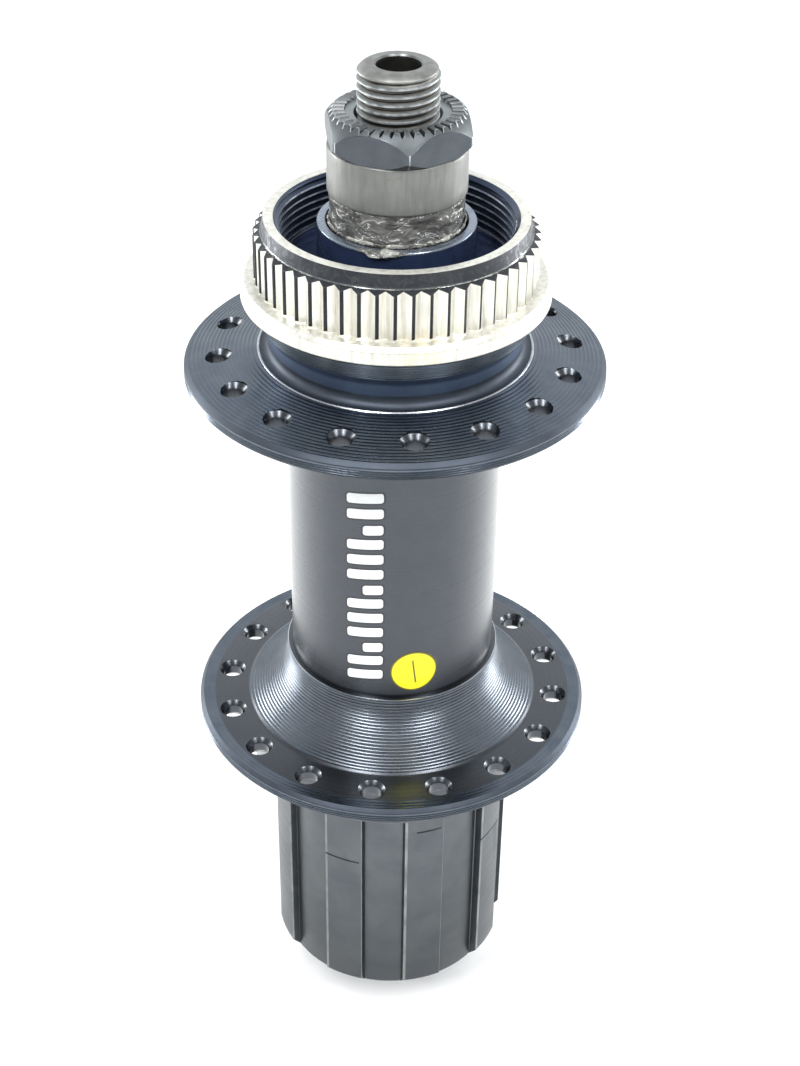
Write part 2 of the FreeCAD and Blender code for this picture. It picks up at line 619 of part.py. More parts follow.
# ------------------------------------------------------------ freehub, turning body
def make_freehub_body():
    """The splined sprocket carrier with its two races, ratchet and lockring mouth."""
    race = D.small_ball + D.small_clearance
    inboard = D.inboard_row_height
    outboard = D.outboard_row_height
    in_far = on_arc(D.small_circle, inboard, race, 0.0)
    in_near = on_arc(D.small_circle, inboard, race, -BODY_RACE)
    out_near = on_arc(D.small_circle, outboard, race, BODY_RACE)
    out_far = on_arc(D.small_circle, outboard, race, 0.0)
    thread_end = D.freehub_end + D.lockring_depth
    stop_start = D.skirt_end - D.body_gap
    body = turned("freehub_body", [
        (in_far[0], D.freehub_start), (D.collar_radius, D.freehub_start),
        (D.collar_radius, stop_start), (D.stop_radius, stop_start),
        (D.stop_radius, D.rib_start), (D.groove_radius, D.rib_start),
        (D.groove_radius, D.freehub_end + D.body_end_edge),
        (D.groove_radius - D.body_end_face, D.freehub_end),
        (D.lockring_radius + D.body_end_face, D.freehub_end),
        (D.lockring_radius, D.freehub_end + D.body_end_face),
        (D.lockring_radius, thread_end), (out_far[0], thread_end + D.body_end_edge),
        out_far, out_near,
        (out_near[0], D.ratchet_bottom), (D.ratchet_tip, D.ratchet_bottom),
        (D.ratchet_tip, D.ratchet_top), (in_near[0], D.ratchet_top), in_near, in_far],
        {12: (D.small_circle, outboard), 18: (D.small_circle, inboard)})
    add_ribs(body)
    cut_ratchet(body)
    return body


def add_rib(body, name, centre):
    """One rib of the sprocket spline, its centre at an angle about Z."""
    half = D.rib_angle / 2
    inner = D.groove_radius - D.rib_sink
    rib_low = D.freehub_end + D.rib_lift
    sketch = new_sketch(body, name + "_outline", "XY_Plane", rib_low)
    low_in = polar(inner, centre - half)
    low_out = polar(D.rib_radius, centre - half)
    high_out = polar(D.rib_radius, centre + half)
    high_in = polar(inner, centre + half)
    origin = (fixed(0), fixed(0))
    draw_outline(sketch, [low_in, low_out, high_out, high_in], {1: origin, 3: origin})
    rib = body.newObject("PartDesign::Pad", name)
    rib.Profile = sketch
    rib.setExpression("Length", (D.rib_start + D.rib_overlap - rib_low).text)
    body.Tip = rib
    return rib, sketch


def add_ribs(body):
    """Nine ribs, unevenly spaced so that sprockets fit only one way round."""
    for rib_number, centre in enumerate(FRONT_RIBS):
        add_rib(body, "rib_front_%d" % rib_number, fixed(centre))
    rib, sketch = add_rib(body, "rib_back", fixed(FIRST_BACK_RIB))
    spread = (BACK_RIB_COUNT - 1) * BACK_RIB_PITCH
    pattern(body, "ribs_back", rib, sketch, "N_Axis", fixed(BACK_RIB_COUNT), spread)


def cut_ratchet(body):
    """Saw teeth inside the body: a steep driving face, then a long ramp."""
    steep = D.ratchet_angle
    ramp = steep + D.tooth_ramp
    sketch = new_sketch(body, "ratchet_space", "XY_Plane", D.ratchet_top)
    inside = D.ratchet_tip - D.tooth_overrun
    draw_outline(sketch, [polar(inside, steep), polar(inside, ramp),
                          polar(D.ratchet_tip, ramp), polar(D.ratchet_root, steep)])
    space = body.newObject("PartDesign::Pocket", "ratchet_cut")
    space.Profile = sketch
    space.setExpression("Length", (D.ratchet_top - D.ratchet_bottom).text)
    body.Tip = space
    pattern(body, "ratchet", space, sketch, "N_Axis", D.ratchet_count)


def make_pawl(name, side):
    """A pawl folded into its pocket; side is +1 or -1 along X."""
    body = new_body(name)
    sketch = new_sketch(body, name + "_outline", "XY_Plane", D.pawl_top - D.pawl_width)
    pivot = D.pawl_pivot
    heel = D.pawl_heel
    draw_outline(sketch, [
        ((pivot + heel) * side, fixed(0)), (pivot * side, heel * side),
        ((pivot - heel) * side, fixed(0)), (D.pawl_inner * side, D.pawl_reach * -side),
        (D.pawl_outer * side, D.pawl_reach * -side)],
        {0: (pivot * side, fixed(0)), 1: (pivot * side, fixed(0))})
    pad = body.newObject("PartDesign::Pad", name + "_pad")
    pad.Profile = sketch
    pad.setExpression("Length", D.pawl_width.text)
    return body


def make_pawl_springs():
    """Two open wire springs in the core's groove, each over the heel of one pawl."""
    wires = []
    for i in range(2):
        wire = doc.addObject("Part::Torus", "pawl_spring_%d" % i)
        wire.setExpression("Radius1", D.spring_ring.text)
        wire.setExpression("Radius2", D.spring_wire.text)
        wire.Angle3 = SPRING_ARC
        start = 180.0 * i + SPRING_START
        wire.Placement = FreeCAD.Placement(V(), FreeCAD.Rotation(V(0, 0, 1), start))
        wire.setExpression("Placement.Base.z", D.spring_height.text)
        wires.append(wire)
    group = doc.addObject("Part::Compound", "pawl_springs")
    group.Links = wires
    group.Label = "pawl_springs"
    return group


def make_label():
    """A round sticker bent round the barrel."""
    skin = ring("label_skin", D.barrel_radius, D.barrel_radius + D.label_thickness,
                D.label_height - D.label_skin_half, D.label_height + D.label_skin_half)
    punch = doc.addObject("Part::Cylinder", "label_punch")
    punch.setExpression("Radius", D.label_radius.text)
    punch.setExpression("Height", (D.barrel_radius + D.label_overrun).text)
    outward = V(math.cos(math.radians(D.label_angle.value)),
                math.sin(math.radians(D.label_angle.value)), 0)
    punch.Placement = FreeCAD.Placement(V(), FreeCAD.Rotation(V(0, 0, 1), outward))
    punch.setExpression("Placement.Base.z", D.label_height.text)
    return boolean("Part::Common", "inspection_label", skin, punch)


# ------------------------------------------------------------ build, check and write
def write_parts(parts):
    doc.recompute()
    for item in doc.Objects:
        if "Invalid" in item.State or "Error" in item.State:
            raise RuntimeError("%s did not compute: %s" % (item.Label, item.State))
    os.makedirs("parts", exist_ok=True)
    for part in parts:
        shape = part.Shape
        if shape.isNull() or not shape.isValid():
            raise RuntimeError(part.Label + " has no valid shape")
        shape.exportStep("parts/%s.step" % part.Label)
        print("%-22s solids %2d  volume %9.2f" % (part.Label, len(shape.Solids), shape.Volume))


def main():
    parts = [make_axle()] + make_left_stack() + make_right_stack()
    parts += make_ball_row("left", D.left_row_height, 1)
    parts += make_ball_row("right", D.right_row_height, -1)
    parts += [make_shell(), make_left_cup(), make_left_dust_cap()]
    parts += make_fixed_freehub_parts()
    parts += [make_freehub_body(), make_pawl("pawl_a", 1), make_pawl("pawl_b", -1)]
    parts += [make_pawl_springs(), make_label()]
    for name, height in (("freehub_inboard_balls", D.inboard_row_height),
                         ("freehub_outboard_balls", D.outboard_row_height)):
        parts.append(make_balls(name, D.small_ball, D.small_circle, height, D.small_count))
    write_parts(parts)


main()
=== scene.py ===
import bmesh
import bpy
import json
import math
import numpy as np
from mathutils import Matrix, Vector, noise


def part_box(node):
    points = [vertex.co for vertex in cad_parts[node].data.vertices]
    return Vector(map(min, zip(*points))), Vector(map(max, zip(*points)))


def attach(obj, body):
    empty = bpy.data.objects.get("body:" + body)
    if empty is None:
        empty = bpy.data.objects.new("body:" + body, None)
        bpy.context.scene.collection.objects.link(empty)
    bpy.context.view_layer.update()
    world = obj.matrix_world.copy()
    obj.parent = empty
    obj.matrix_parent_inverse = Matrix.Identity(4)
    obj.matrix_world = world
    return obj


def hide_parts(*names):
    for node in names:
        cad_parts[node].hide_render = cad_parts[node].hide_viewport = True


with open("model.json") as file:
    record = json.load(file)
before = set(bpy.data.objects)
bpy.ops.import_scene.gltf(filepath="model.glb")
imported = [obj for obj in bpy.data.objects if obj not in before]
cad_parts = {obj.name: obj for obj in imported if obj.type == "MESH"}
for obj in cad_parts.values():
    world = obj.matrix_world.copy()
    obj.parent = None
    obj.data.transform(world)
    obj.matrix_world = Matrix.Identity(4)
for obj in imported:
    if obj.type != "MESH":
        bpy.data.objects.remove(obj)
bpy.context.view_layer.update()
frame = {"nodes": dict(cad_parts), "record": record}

# Lengths are millimetres and angles degrees until they reach a mesh. An angle is measured
# about +Z from +X, so the camera, which stands on the -Y side, faces FRONT.
MM = 0.001
TURN = 2 * math.pi
FRONT = -90.0


# ---- what the frame says
def corner_heights(node):
    """Lowest and highest Z of a CAD node."""
    low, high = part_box(node)
    return low.z / MM, high.z / MM


def outer_radius(node):
    """Largest reach of a round CAD node from the axle's line."""
    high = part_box(node)[1]
    return max(high.x, high.y) / MM


MOUNTS = {mount["name"]: mount for mount in frame["record"]["mounts"]}
AXLE_END = corner_heights("axle")[1]
AXLE_RADIUS = MOUNTS["left_axle_end"]["dims"]["r_mm"]
AXLE_BORE = MOUNTS["skewer_bore"]["dims"]["r_mm"]
THREAD_PITCH = 1.0
TUBE_STEPS = 8          # rows for each turn of a thread inside a tube
RIM_TOP = corner_heights("hub_shell")[1]
SHELL_END = corner_heights("hub_shell")[0]
FREEHUB_START = corner_heights("freehub_body")[1]
FREEHUB_END = corner_heights("freehub_body")[0]
SPACER_LOW, SPACER_HIGH = corner_heights("left_spacer")
SPACER_RADIUS = outer_radius("left_spacer")
SEAL_LOW, SEAL_HIGH = corner_heights("left_cone_seal")
SEAL_RADIUS = outer_radius("left_cone_seal")
CAP_FLOOR, CAP_LIP = corner_heights("left_dust_cap")
CAP_RADIUS = outer_radius("left_dust_cap")

# rotor mount
RIM_RADIUS = 16.4
RIM_FOOT = (16.75, 52.2)
THREAD_RADIUS = 15.0
SPLINE_TIP = 17.7
SPLINE_ROOT = 17.0
SPLINE_TOP = 51.8
SPLINE_COUNT = 52
SPLINE_ANGLE = -90.58
SEAT_RADIUS = 19.45
SEAT_HEIGHT = 45.9
SEAT_UNDERSIDE = 43.7
MOUNT_END = 43.35
THREAD_FLOOR = 46.6
CUP_SEAT = 14.2

# barrel and flanges
NECK_RADIUS = 16.2
BARREL_RADIUS = 14.0
FLARE_TOP = -10.6
LEFT_HOLE_ANGLE = -83.8
LEFT_HOLE_CIRCLE = 22.65
RIGHT_HOLE_ANGLE = -73.7
HOLE_SINK = 0.55

# freehub body
RIB_RADIUS = 17.15
GROOVE_RADIUS = 16.0
RIB_START = -29.4
RIB_HALF = 9.75
RIB_CENTRES = [-158.0, -113.0, -73.0] + [-29.5 + 38.5 * step for step in range(6)]
MOUTH_RADIUS = 15.0
MOUTH_DEPTH = 6.9
CORE_WALL = 14.8
RATCHET_TIP = 12.3
RATCHET_ROOT = 13.3
RATCHET_COUNT = 24
RATCHET_ANGLE = -28.2

# locknuts
NUT_FLATS = 16.6
NUT_CORNER = 9.42
NUT_RING = 7.75
NUT_NOTCH = 0.5
NUT_CORNER_ANGLE = -82.0
CONE_SLOPE = 0.738      # drop of the chamfer cone for each millimetre outward
CONE_CURVE = 0.311      # and how that grows


# ---- outlines and skins
MOST_SOFT = 0.45        # share of a stretch that a softened corner may take
GROOVE_PROBE = 0.002    # share of a path over which its direction is measured
LEVEL = 1e-6            # heights closer than this are the same height
WELD = 1e-7             # points closer than this, in metres, are one point


class Outline:
    """A section drawn point by point as (radius, height), going up the bore and down the
    outside. Each stretch has a paint number, and a corner can be softened."""

    def __init__(self):
        self.points = []

    def to(self, radius, height, paint=0, soft=0.0):
        self.points.append((radius, height, paint, soft))
        return self

    def arc(self, centre, radius, height, paint=0, steps=8):
        """Round centre from the last point to a new one, the short way."""
        path = curved(centre, self.points[-1], (radius, height))
        for step in range(1, steps + 1):
            self.to(*path(step / steps), paint)
        return self

    def bead(self, radius, height, across, along, count):
        """The oval section of a bead round the axle's line."""
        for step in range(count):
            angle = math.pi - TURN * step / count
            self.to(radius + across * math.cos(angle), height + along * math.sin(angle))
        return self

    def groove(self, path, count, depth, paint=0, steps=6):
        """Scallops cut side by side along a path, which is a function of 0 to 1."""
        total = count * steps
        for step in range(1, total + 1):
            part = step / total
            here = path(part)
            ahead = path(min(part + GROOVE_PROBE, 1.0))
            behind = path(max(part - GROOVE_PROBE, 0.0))
            run = (ahead[0] - behind[0], ahead[1] - behind[1])
            length = math.hypot(*run)
            inward = (run[1] / length, -run[0] / length)
            across = (step % steps) / steps
            dip = depth * (1.0 - (2.0 * across - 1.0) ** 2) if step % steps else 0.0
            self.to(here[0] + inward[0] * dip, here[1] + inward[1] * dip, paint)
        return self

    def finished(self):
        """Radii, heights and paints as arrays, with the softened corners rounded."""
        rows = []
        for index, (x, y, paint, soft) in enumerate(self.points):
            if soft == 0.0:
                rows.append((x, y, paint))
                continue
            legs = []
            for other in (self.points[index - 1], self.points[(index + 1) % len(self.points)]):
                legs.append((other[0] - x, other[1] - y, math.hypot(other[0] - x, other[1] - y)))
            size = min(soft, legs[0][2] * MOST_SOFT, legs[1][2] * MOST_SOFT)
            back, on = [(leg[0] / leg[2] * size, leg[1] / leg[2] * size) for leg in legs]
            for part in (0.0, 0.25, 0.5, 0.75, 1.0):
                a = (1 - part) ** 2
                b = part ** 2
                rows.append((x + back[0] * a + on[0] * b, y + back[1] * a + on[1] * b, paint))
        table = np.array(rows)
        return table[:, 0], table[:, 1], table[:, 2].astype(int)

    def tiled(self, columns):
        """The finished section repeated for every column, as three grids."""
        return [np.tile(row, (columns, 1)) for row in self.finished()]


def polar(reach, turn):
    return reach * math.cos(turn), reach * math.sin(turn)


def straight(start, end):
    return lambda part: (start[0] + (end[0] - start[0]) * part,
                         start[1] + (end[1] - start[1]) * part)


def curved(centre, start, end):
    """The arc from start to end as a function of 0 to 1."""
    angle_1 = math.atan2(start[1] - centre[1], start[0] - centre[0])
    angle_2 = math.atan2(end[1] - centre[1], end[0] - centre[0])
    sweep = (angle_2 - angle_1 + math.pi) % TURN - math.pi
    reach_1 = math.hypot(start[0] - centre[0], start[1] - centre[1])
    reach_2 = math.hypot(end[0] - centre[0], end[1] - centre[1])

    def path(part):
        x, y = polar(reach_1 + (reach_2 - reach_1) * part, angle_1 + sweep * part)
        return centre[0] + x, centre[1] + y
    return path


def even_angles(count, start=0.0):
    """Angles spaced evenly round a full turn."""
    return start + np.arange(count) * 360.0 / count


def add_object(name, data):
    thing = bpy.data.objects.new(name, data)
    bpy.context.scene.collection.objects.link(thing)
    return thing


def new_mesh(name, points, faces):
    mesh = bpy.data.meshes.new(name)
    mesh.from_pydata(points, [], faces)
    return mesh


def finish_mesh(name, mesh, paints, sharp):
    """Cleans a mesh, turns its faces outward and marks its sharp edges."""
    work = bmesh.new()
    work.from_mesh(mesh)
    bmesh.ops.remove_doubles(work, verts=work.verts, dist=WELD)
    bmesh.ops.recalc_face_normals(work, faces=work.faces)
    work.to_mesh(mesh)
    work.free()
    for paint in paints:
        mesh.materials.append(paint.material)
    mesh.shade_smooth()
    mesh.set_sharp_from_angle(angle=math.radians(sharp))
    return add_object(name, mesh)


def skin(name, angles, radii, heights, paint_rows, paints, helices=(), sharp=32.0):
    """A closed skin round the axle's line: one column per angle, one row per section point.
    In a helix, (first row, last row, shift), the seam joins each row to the row shift on."""
    columns, rows = radii.shape
    turn = np.radians(np.asarray(angles, float))[:, None]
    points = np.stack([radii * np.cos(turn), radii * np.sin(turn), heights], axis=-1) * MM
    level = np.arange(rows)
    after = (level + 1) % rows
    partner = level.copy()
    partner_after = after.copy()
    for first, last, shift in helices:
        for row in range(first, last):
            partner[row] = min(max(row + shift, first), last)
            partner_after[row] = min(max(row + 1 + shift, first), last)
    corners = []
    for column in range(columns):
        near = column * rows
        far = ((column + 1) % columns) * rows
        seam = column == columns - 1
        corners.append(np.stack([near + level, near + after,
                                 far + (partner_after if seam else after),
                                 far + (partner if seam else level)], axis=-1))
    numbers = np.roll(np.broadcast_to(paint_rows, (columns, rows)), -1, axis=1)
    mesh = new_mesh(name, points.reshape(-1, 3).tolist(), np.concatenate(corners).tolist())
    mesh.polygons.foreach_set("material_index", numbers.astype(np.int32).ravel())
    return finish_mesh(name, mesh, paints, sharp)


def spread(rows, columns):
    """Section rows, each a radius, a height and a paint that hold for all the columns or
    differ from one to the next, as three grids."""
    return [np.stack([np.broadcast_to(row[part], (columns,)) for row in rows], axis=1)
            for part in range(3)]


def joined(*parts):
    """Parts of a section, three grids each, one after the other, and the row each starts at."""
    starts = [sum(part[0].shape[1] for part in parts[:index]) for index in range(len(parts) + 1)]
    return [np.hstack(grids) for grids in zip(*parts)], starts


def turned(name, outline, paints, columns=240, sharp=32.0, shape=None):
    """A body of revolution; shape may change each column's (angle, radii, heights)."""
    angles = even_angles(columns)
    radii, heights, rows = outline.tiled(columns)
    if shape:
        radii, heights = shape(angles[:, None], radii, heights)
    return skin(name, angles, radii, heights, rows, paints, sharp=sharp)


def helix(angles, low, high, pitch, steps, radius):
    """Rows that climb one pitch a turn from low to high; radius is given (phase, height)."""
    turns = (high - low) / pitch
    count = int(math.ceil(turns * steps)) + steps + 1
    number = np.arange(count)
    climb = (np.asarray(angles) - angles[0]) / 360.0
    heights = low + (number[None, :] - steps + steps * climb[:, None]) * pitch / steps
    heights = np.clip(heights, low, high)
    phase = np.broadcast_to((number / steps)[None, :], heights.shape)
    return radius(phase, heights), heights


def thread_form(phase, crest=0.16, root=0.14):
    """Height of a V thread with a flat crest and root, 0 at the root and 1 at the crest."""
    wave = np.abs(2.0 * (phase % 1.0) - 1.0)
    rise = np.clip((wave - root) / (1.0 - crest - root), 0.0, 1.0)
    return rise * rise * (3.0 - 2.0 * rise) * 0.4 + rise * 0.6


def inner_thread(angles, low, high, radius, depth, mouth, rise):
    """A thread inside a tube, eight rows a turn, that opens into a chamfer at its mouth.
    Rise is the chamfer's extra radius."""
    def wall(phase, heights):
        cut = radius - depth * thread_form(phase, 0.2, 0.35)
        return np.maximum(cut, radius + rise - np.abs(mouth - heights) * 0.9)

    return helix(angles, low, high, THREAD_PITCH, TUBE_STEPS, wall)


def ride(piece, body, slot, *nodes):
    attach(piece, body)
    if nodes:
        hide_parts(*nodes)
    return piece


# ---- finishes
class Nodes:
    """A node tree, with short calls for the nodes that the finishes and the world share."""

    def __init__(self, tree):
        self.nodes = tree.nodes
        self.links = tree.links

    def join(self, node, name, value):
        """Links a socket to an input, or sets the input; a tint is three numbers."""
        socket = node.inputs[name]
        if isinstance(value, bpy.types.NodeSocket):
            self.links.new(value, socket)
        else:
            socket.default_value = (*value, 1.0) if socket.type == "RGBA" else value

    def node(self, kind, inputs, output=0, **settings):
        """One of the outputs of a new node; inputs that are None keep their own value."""
        node = self.nodes.new("ShaderNode" + kind)
        for name, value in settings.items():
            setattr(node, name, value)
        for name, value in inputs.items():
            if value is not None:
                self.join(node, name, value)
        return node.outputs[output]

    def vector(self, operation, first, second=None):
        single = operation in ("LENGTH", "DISTANCE", "DOT_PRODUCT")
        return self.node("VectorMath", {0: first, "Scale" if operation == "SCALE" else 1: second},
                         "Value" if single else "Vector", operation=operation)

    def math(self, operation, first, second=0.0):
        return self.node("Math", {0: first, 1: second}, operation=operation)

    def remap(self, value, low, high, out_low=0.0, out_high=1.0, **settings):
        return self.node("MapRange", {"Value": value, "From Min": low, "From Max": high,
                                      "To Min": out_low, "To Max": out_high}, **settings)

    def blend(self, factor, first, second, single=False):
        """A mix of two tints, or of two single values."""
        if single:
            return self.node("Mix", {0: factor, 2: first, 3: second})
        return self.node("Mix", {0: factor, 6: first, 7: second}, 2, data_type="RGBA")


class Finish(Nodes):
    """A procedural material. Its textures see the piece's own place in millimetres."""

    def __init__(self, name):
        self.material = bpy.data.materials.new(name)
        self.material.use_nodes = True
        super().__init__(self.material.node_tree)
        self.shader = self.nodes["Principled BSDF"]
        self.place = self.vector("SCALE", self.node("TexCoord", {}, "Object"), 1.0 / MM)

    def noise(self, scale, detail=3.0, at=None, distortion=0.0):
        return self.node("TexNoise", {"Vector": at or self.place, "Scale": scale,
                                      "Detail": detail, "Distortion": distortion}, "Fac")

    def height(self):
        return self.node("SeparateXYZ", {0: self.place}, 2)

    def section(self):
        """The point's radius and height, as the tool that turned the piece saw it."""
        radius = self.vector("LENGTH", self.vector("MULTIPLY", self.place, (1.0, 1.0, 0.0)))
        return self.node("CombineXYZ", {0: radius, 2: self.height()})

    def bump(self, height, depth, below=None):
        return self.node("Bump", {"Height": height, "Distance": depth * MM, "Normal": below})

    def set(self, **inputs):
        """Sets the shader's sockets; an underscore in a name stands for a space."""
        for name, value in inputs.items():
            self.join(self.shader, name.replace("_", " "), value)
        return self

    def under(self, name):
        """What feeds one of the shader's sockets so far."""
        return self.shader.inputs[name].links[0].from_socket

    def cover(self, share, tint):
        """Lays a tint over the present one, as far as share says."""
        return self.set(Base_Color=self.blend(share, self.under("Base Color"), tint))



def metal(name, light, dark, roughness, lines=5.0, depth=0.004, cloud=0.35, metallic=1.0,
          grain=7.0, grain_depth=0.002):
    """Turned metal: cloudy tint, fine rings from the lathe and a slight grain."""
    finish = Finish(name)
    rings = finish.noise(lines, 4.0, finish.section())
    clouds = finish.noise(cloud, 4.0, distortion=0.4)
    fine = finish.noise(grain, 2.0)
    tint = finish.blend(finish.remap(clouds, 0.35, 0.65), light, dark)
    worn = finish.blend(finish.remap(rings, 0.3, 0.8, 0.0, 0.35), tint, light)
    rough = finish.remap(finish.math("ADD", rings, fine), 0.7, 1.3, *roughness)
    normal = finish.bump(rings, depth)
    normal = finish.bump(fine, grain_depth, normal)
    finish.set(Base_Color=worn, Metallic=metallic, Roughness=rough, Normal=normal)
    return finish


def streaked(finish, dark, scale=1.6, low=0.45, high=0.75, stretch=0.12, most=0.6):
    """Adds streaks that run along the axle's direction."""
    along = finish.vector("MULTIPLY", finish.place, (1.0, 1.0, stretch))
    return finish.cover(finish.remap(finish.noise(scale, 3.0, along), low, high, 0.0, most), dark)


def painted_shade_below(finish, high, low, least):
    """Darkens the tint from one height down to a lower one: painted shade towards the bottom."""
    return finish.cover(finish.remap(finish.height(), high, low, 0.0, 1.0 - least),
                        (0.0, 0.0, 0.0))


def stained(finish, centre, size, tint, most=0.4):
    """Adds one soft round stain."""
    reach = finish.vector("DISTANCE", finish.place, centre)
    patch = finish.math("MULTIPLY", finish.remap(reach, size, 0.0, 0.0, most),
                        finish.remap(finish.noise(1.2, 3.0), 0.35, 0.6))
    return finish.cover(patch, tint)


def smudged(finish, smudge, scale=0.9, low=0.52, high=0.7, gloss=0.15):
    """Adds greasy smudges over a finish: another tint and a glossier patch."""
    patch = finish.remap(finish.noise(scale, 5.0, distortion=1.2), low, high)
    finish.cover(patch, smudge)
    return finish.set(Roughness=finish.blend(patch, finish.under("Roughness"), gloss, True))


def rubber(name, base, patch, roughness, glint_tint, spread=1.5):
    """A dull rubber or grease surface with clouds, long smears and thin pale specks that are
    painted glints.
    """
    finish = Finish(name)
    level = finish.vector("MULTIPLY", finish.place, (1.0, 1.0, 1.7))
    clouds = finish.noise(spread * 0.22, 3.0, level, distortion=0.5)
    smears = finish.noise(spread * 0.30, 2.0, level, distortion=0.9)
    fine = finish.noise(6.0, 3.0)
    ridge = finish.math("ABSOLUTE", finish.math("SUBTRACT", smears, 0.5))
    # thin pale lines along the smears' ridges: painted glints on the grease
    painted_glint = finish.math("MULTIPLY", finish.remap(ridge, 0.014, 0.004),
                      finish.remap(clouds, 0.46, 0.54))
    tint = finish.blend(finish.remap(clouds, 0.49, 0.53), base, patch)
    finish.set(Base_Color=finish.blend(painted_glint, tint, glint_tint),
               Roughness=finish.remap(clouds, 0.45, 0.6, *roughness),
               Normal=finish.bump(smears, 0.6, finish.bump(fine, 0.01)),
               Specular_IOR_Level=0.5)
    return finish


def paint_film(name, base, faded, roughness):
    """A printed or painted film: slight mottling in colour and gloss."""
    finish = Finish(name)
    clouds = finish.noise(0.7, 4.0)
    fine = finish.noise(9.0, 2.0)
    finish.set(Base_Color=finish.blend(finish.remap(clouds, 0.35, 0.7), base, faded),
               Roughness=finish.remap(fine, 0.3, 0.7, *roughness),
               Normal=finish.bump(fine, 0.004))
    return finish


def bearing_polish(name):
    finish = Finish(name)
    clouds = finish.noise(0.5, 2.0)
    fine = finish.noise(4.0, 3.0)
    finish.set(Base_Color=finish.blend(clouds, (0.74, 0.75, 0.76),
                                       (0.62, 0.63, 0.65)),
               Metallic=1.0, Roughness=finish.remap(fine, 0.3, 0.7, 0.04, 0.12))
    return finish


def label_print(name, centre, size, sideways):
    """Yellow film with a thin dark rim and one thin line across it."""
    rim = 0.2
    half_line = 0.09
    line_reach = 1.85
    soft = 0.04
    finish = Finish(name)
    reach = finish.vector("DISTANCE", finish.place, centre)
    clouds = finish.noise(1.2, 3.0)
    yellow = finish.blend(clouds, (0.93, 0.80, 0.015), (0.86, 0.72, 0.01))
    edge = finish.remap(reach, size - rim - 0.06, size - rim)
    offset = finish.vector("DOT_PRODUCT", finish.place, sideways)
    middle = sum(c * s for c, s in zip(centre, sideways))
    away = finish.math("ABSOLUTE", finish.math("SUBTRACT", offset, middle))
    line = finish.math("MULTIPLY", finish.remap(away, half_line + soft, half_line),
                       finish.remap(reach, line_reach + 0.1, line_reach))
    ink = finish.math("MAXIMUM", edge, line)
    return finish.set(Base_Color=finish.blend(ink, yellow, (0.11, 0.10, 0.015)),
                      Roughness=finish.remap(clouds, 0.3, 0.7, 0.32, 0.42))


BLACK = metal("black_anodised", (0.030, 0.037, 0.048), (0.024, 0.031, 0.042), (0.25, 0.34),
    lines=2.2, depth=0.0015, grain_depth=0.0012)
BLACK.set(Coat_Weight=1.0, Coat_Roughness=0.28, Coat_IOR=1.55)
EDGE_BLACK = metal("edge_black", (0.066, 0.077, 0.094), (0.054, 0.065, 0.082), (0.46, 0.56),
    lines=2.2, depth=0.001)
GROOVED = metal("grooved_black", (0.125, 0.145, 0.17), (0.095, 0.115, 0.145), (0.18, 0.28),
    lines=2.2, depth=0.001, grain_depth=0.0008)
FLARE_BLACK = metal("flare_black", (0.155, 0.172, 0.195), (0.125, 0.142, 0.165), (0.26, 0.34),
    lines=2.2, depth=0.0003, grain_depth=0.0003)
TAPER_BLACK = metal("taper_black", (0.27, 0.30, 0.33), (0.21, 0.24, 0.27), (0.25, 0.36),
    lines=2.2, depth=0.0015)
# pale line on the shell's neck fillet and above the flare: painted highlight
PAINTED_HIGHLIGHT_EDGE = metal("bright_edge", (0.55, 0.57, 0.60), (0.34, 0.36, 0.39), (0.2, 0.3), lines=2.2,
    depth=0.001)
BLUE_BLACK = metal("blue_black_anodised", (0.10, 0.135, 0.20), (0.085, 0.115, 0.18),
    (0.50, 0.60), lines=3.0, depth=0.001)
STAIN_PLACE = (3.2, -19.2, 44.6)
BARE = stained(streaked(metal("bare_aluminium", (0.79, 0.78, 0.715), (0.71, 0.70, 0.63),
    (0.32, 0.45), lines=4.0, depth=0.004, metallic=0.7, cloud=0.5), (0.44, 0.42, 0.36)),
    STAIN_PLACE, 4.0, (0.90, 0.72, 0.30))
RIM_BLACK = smudged(metal("smudged_rim", (0.068, 0.072, 0.078), (0.05, 0.054, 0.062),
    (0.46, 0.56), lines=2.0, grain_depth=0.006), (0.13, 0.135, 0.14), 0.7, 0.5, 0.75, 0.24)
AXLE_STEEL = metal("axle_steel", (0.27, 0.275, 0.262), (0.18, 0.18, 0.17), (0.40, 0.54),
    lines=6.0, depth=0.003, grain_depth=0.008, metallic=0.75, cloud=0.7)
THREAD_ROOT = metal("thread_root_steel", (0.13, 0.125, 0.11), (0.07, 0.066, 0.06), (0.35, 0.5),
    lines=6.0, depth=0.003)
OXIDE = metal("black_oxide", (0.095, 0.106, 0.118), (0.076, 0.086, 0.098), (0.30, 0.40),
    lines=3.0, depth=0.002, grain_depth=0.003)
NUT_FACE = metal("nut_ground_face", (0.30, 0.32, 0.32), (0.22, 0.24, 0.25), (0.34, 0.46),
    lines=4.0, metallic=0.8)
SPACER_STEEL = streaked(smudged(metal("spacer_steel", (0.215, 0.22, 0.21), (0.165, 0.17, 0.16),
    (0.40, 0.52), lines=3.0, cloud=0.3, grain_depth=0.008, metallic=0.5), (0.17, 0.17, 0.155),
    0.5, 0.52, 0.8, 0.2), (0.13, 0.13, 0.12))
CONE_STEEL = metal("cone_steel", (0.20, 0.19, 0.18), (0.13, 0.125, 0.12), (0.25, 0.40))
CUP_STEEL = metal("cup_steel", (0.50, 0.50, 0.51), (0.38, 0.38, 0.40), (0.15, 0.3))
CAP_METAL = metal("dust_cap_lip", (0.28, 0.315, 0.37), (0.20, 0.235, 0.29), (0.22, 0.32),
    lines=4.0, metallic=0.85)
CAP_FLOOR_FINISH = metal("dust_cap_floor", (0.022, 0.034, 0.078), (0.014, 0.023, 0.052),
    (0.12, 0.22), lines=2.0, depth=0.001, metallic=0.1)
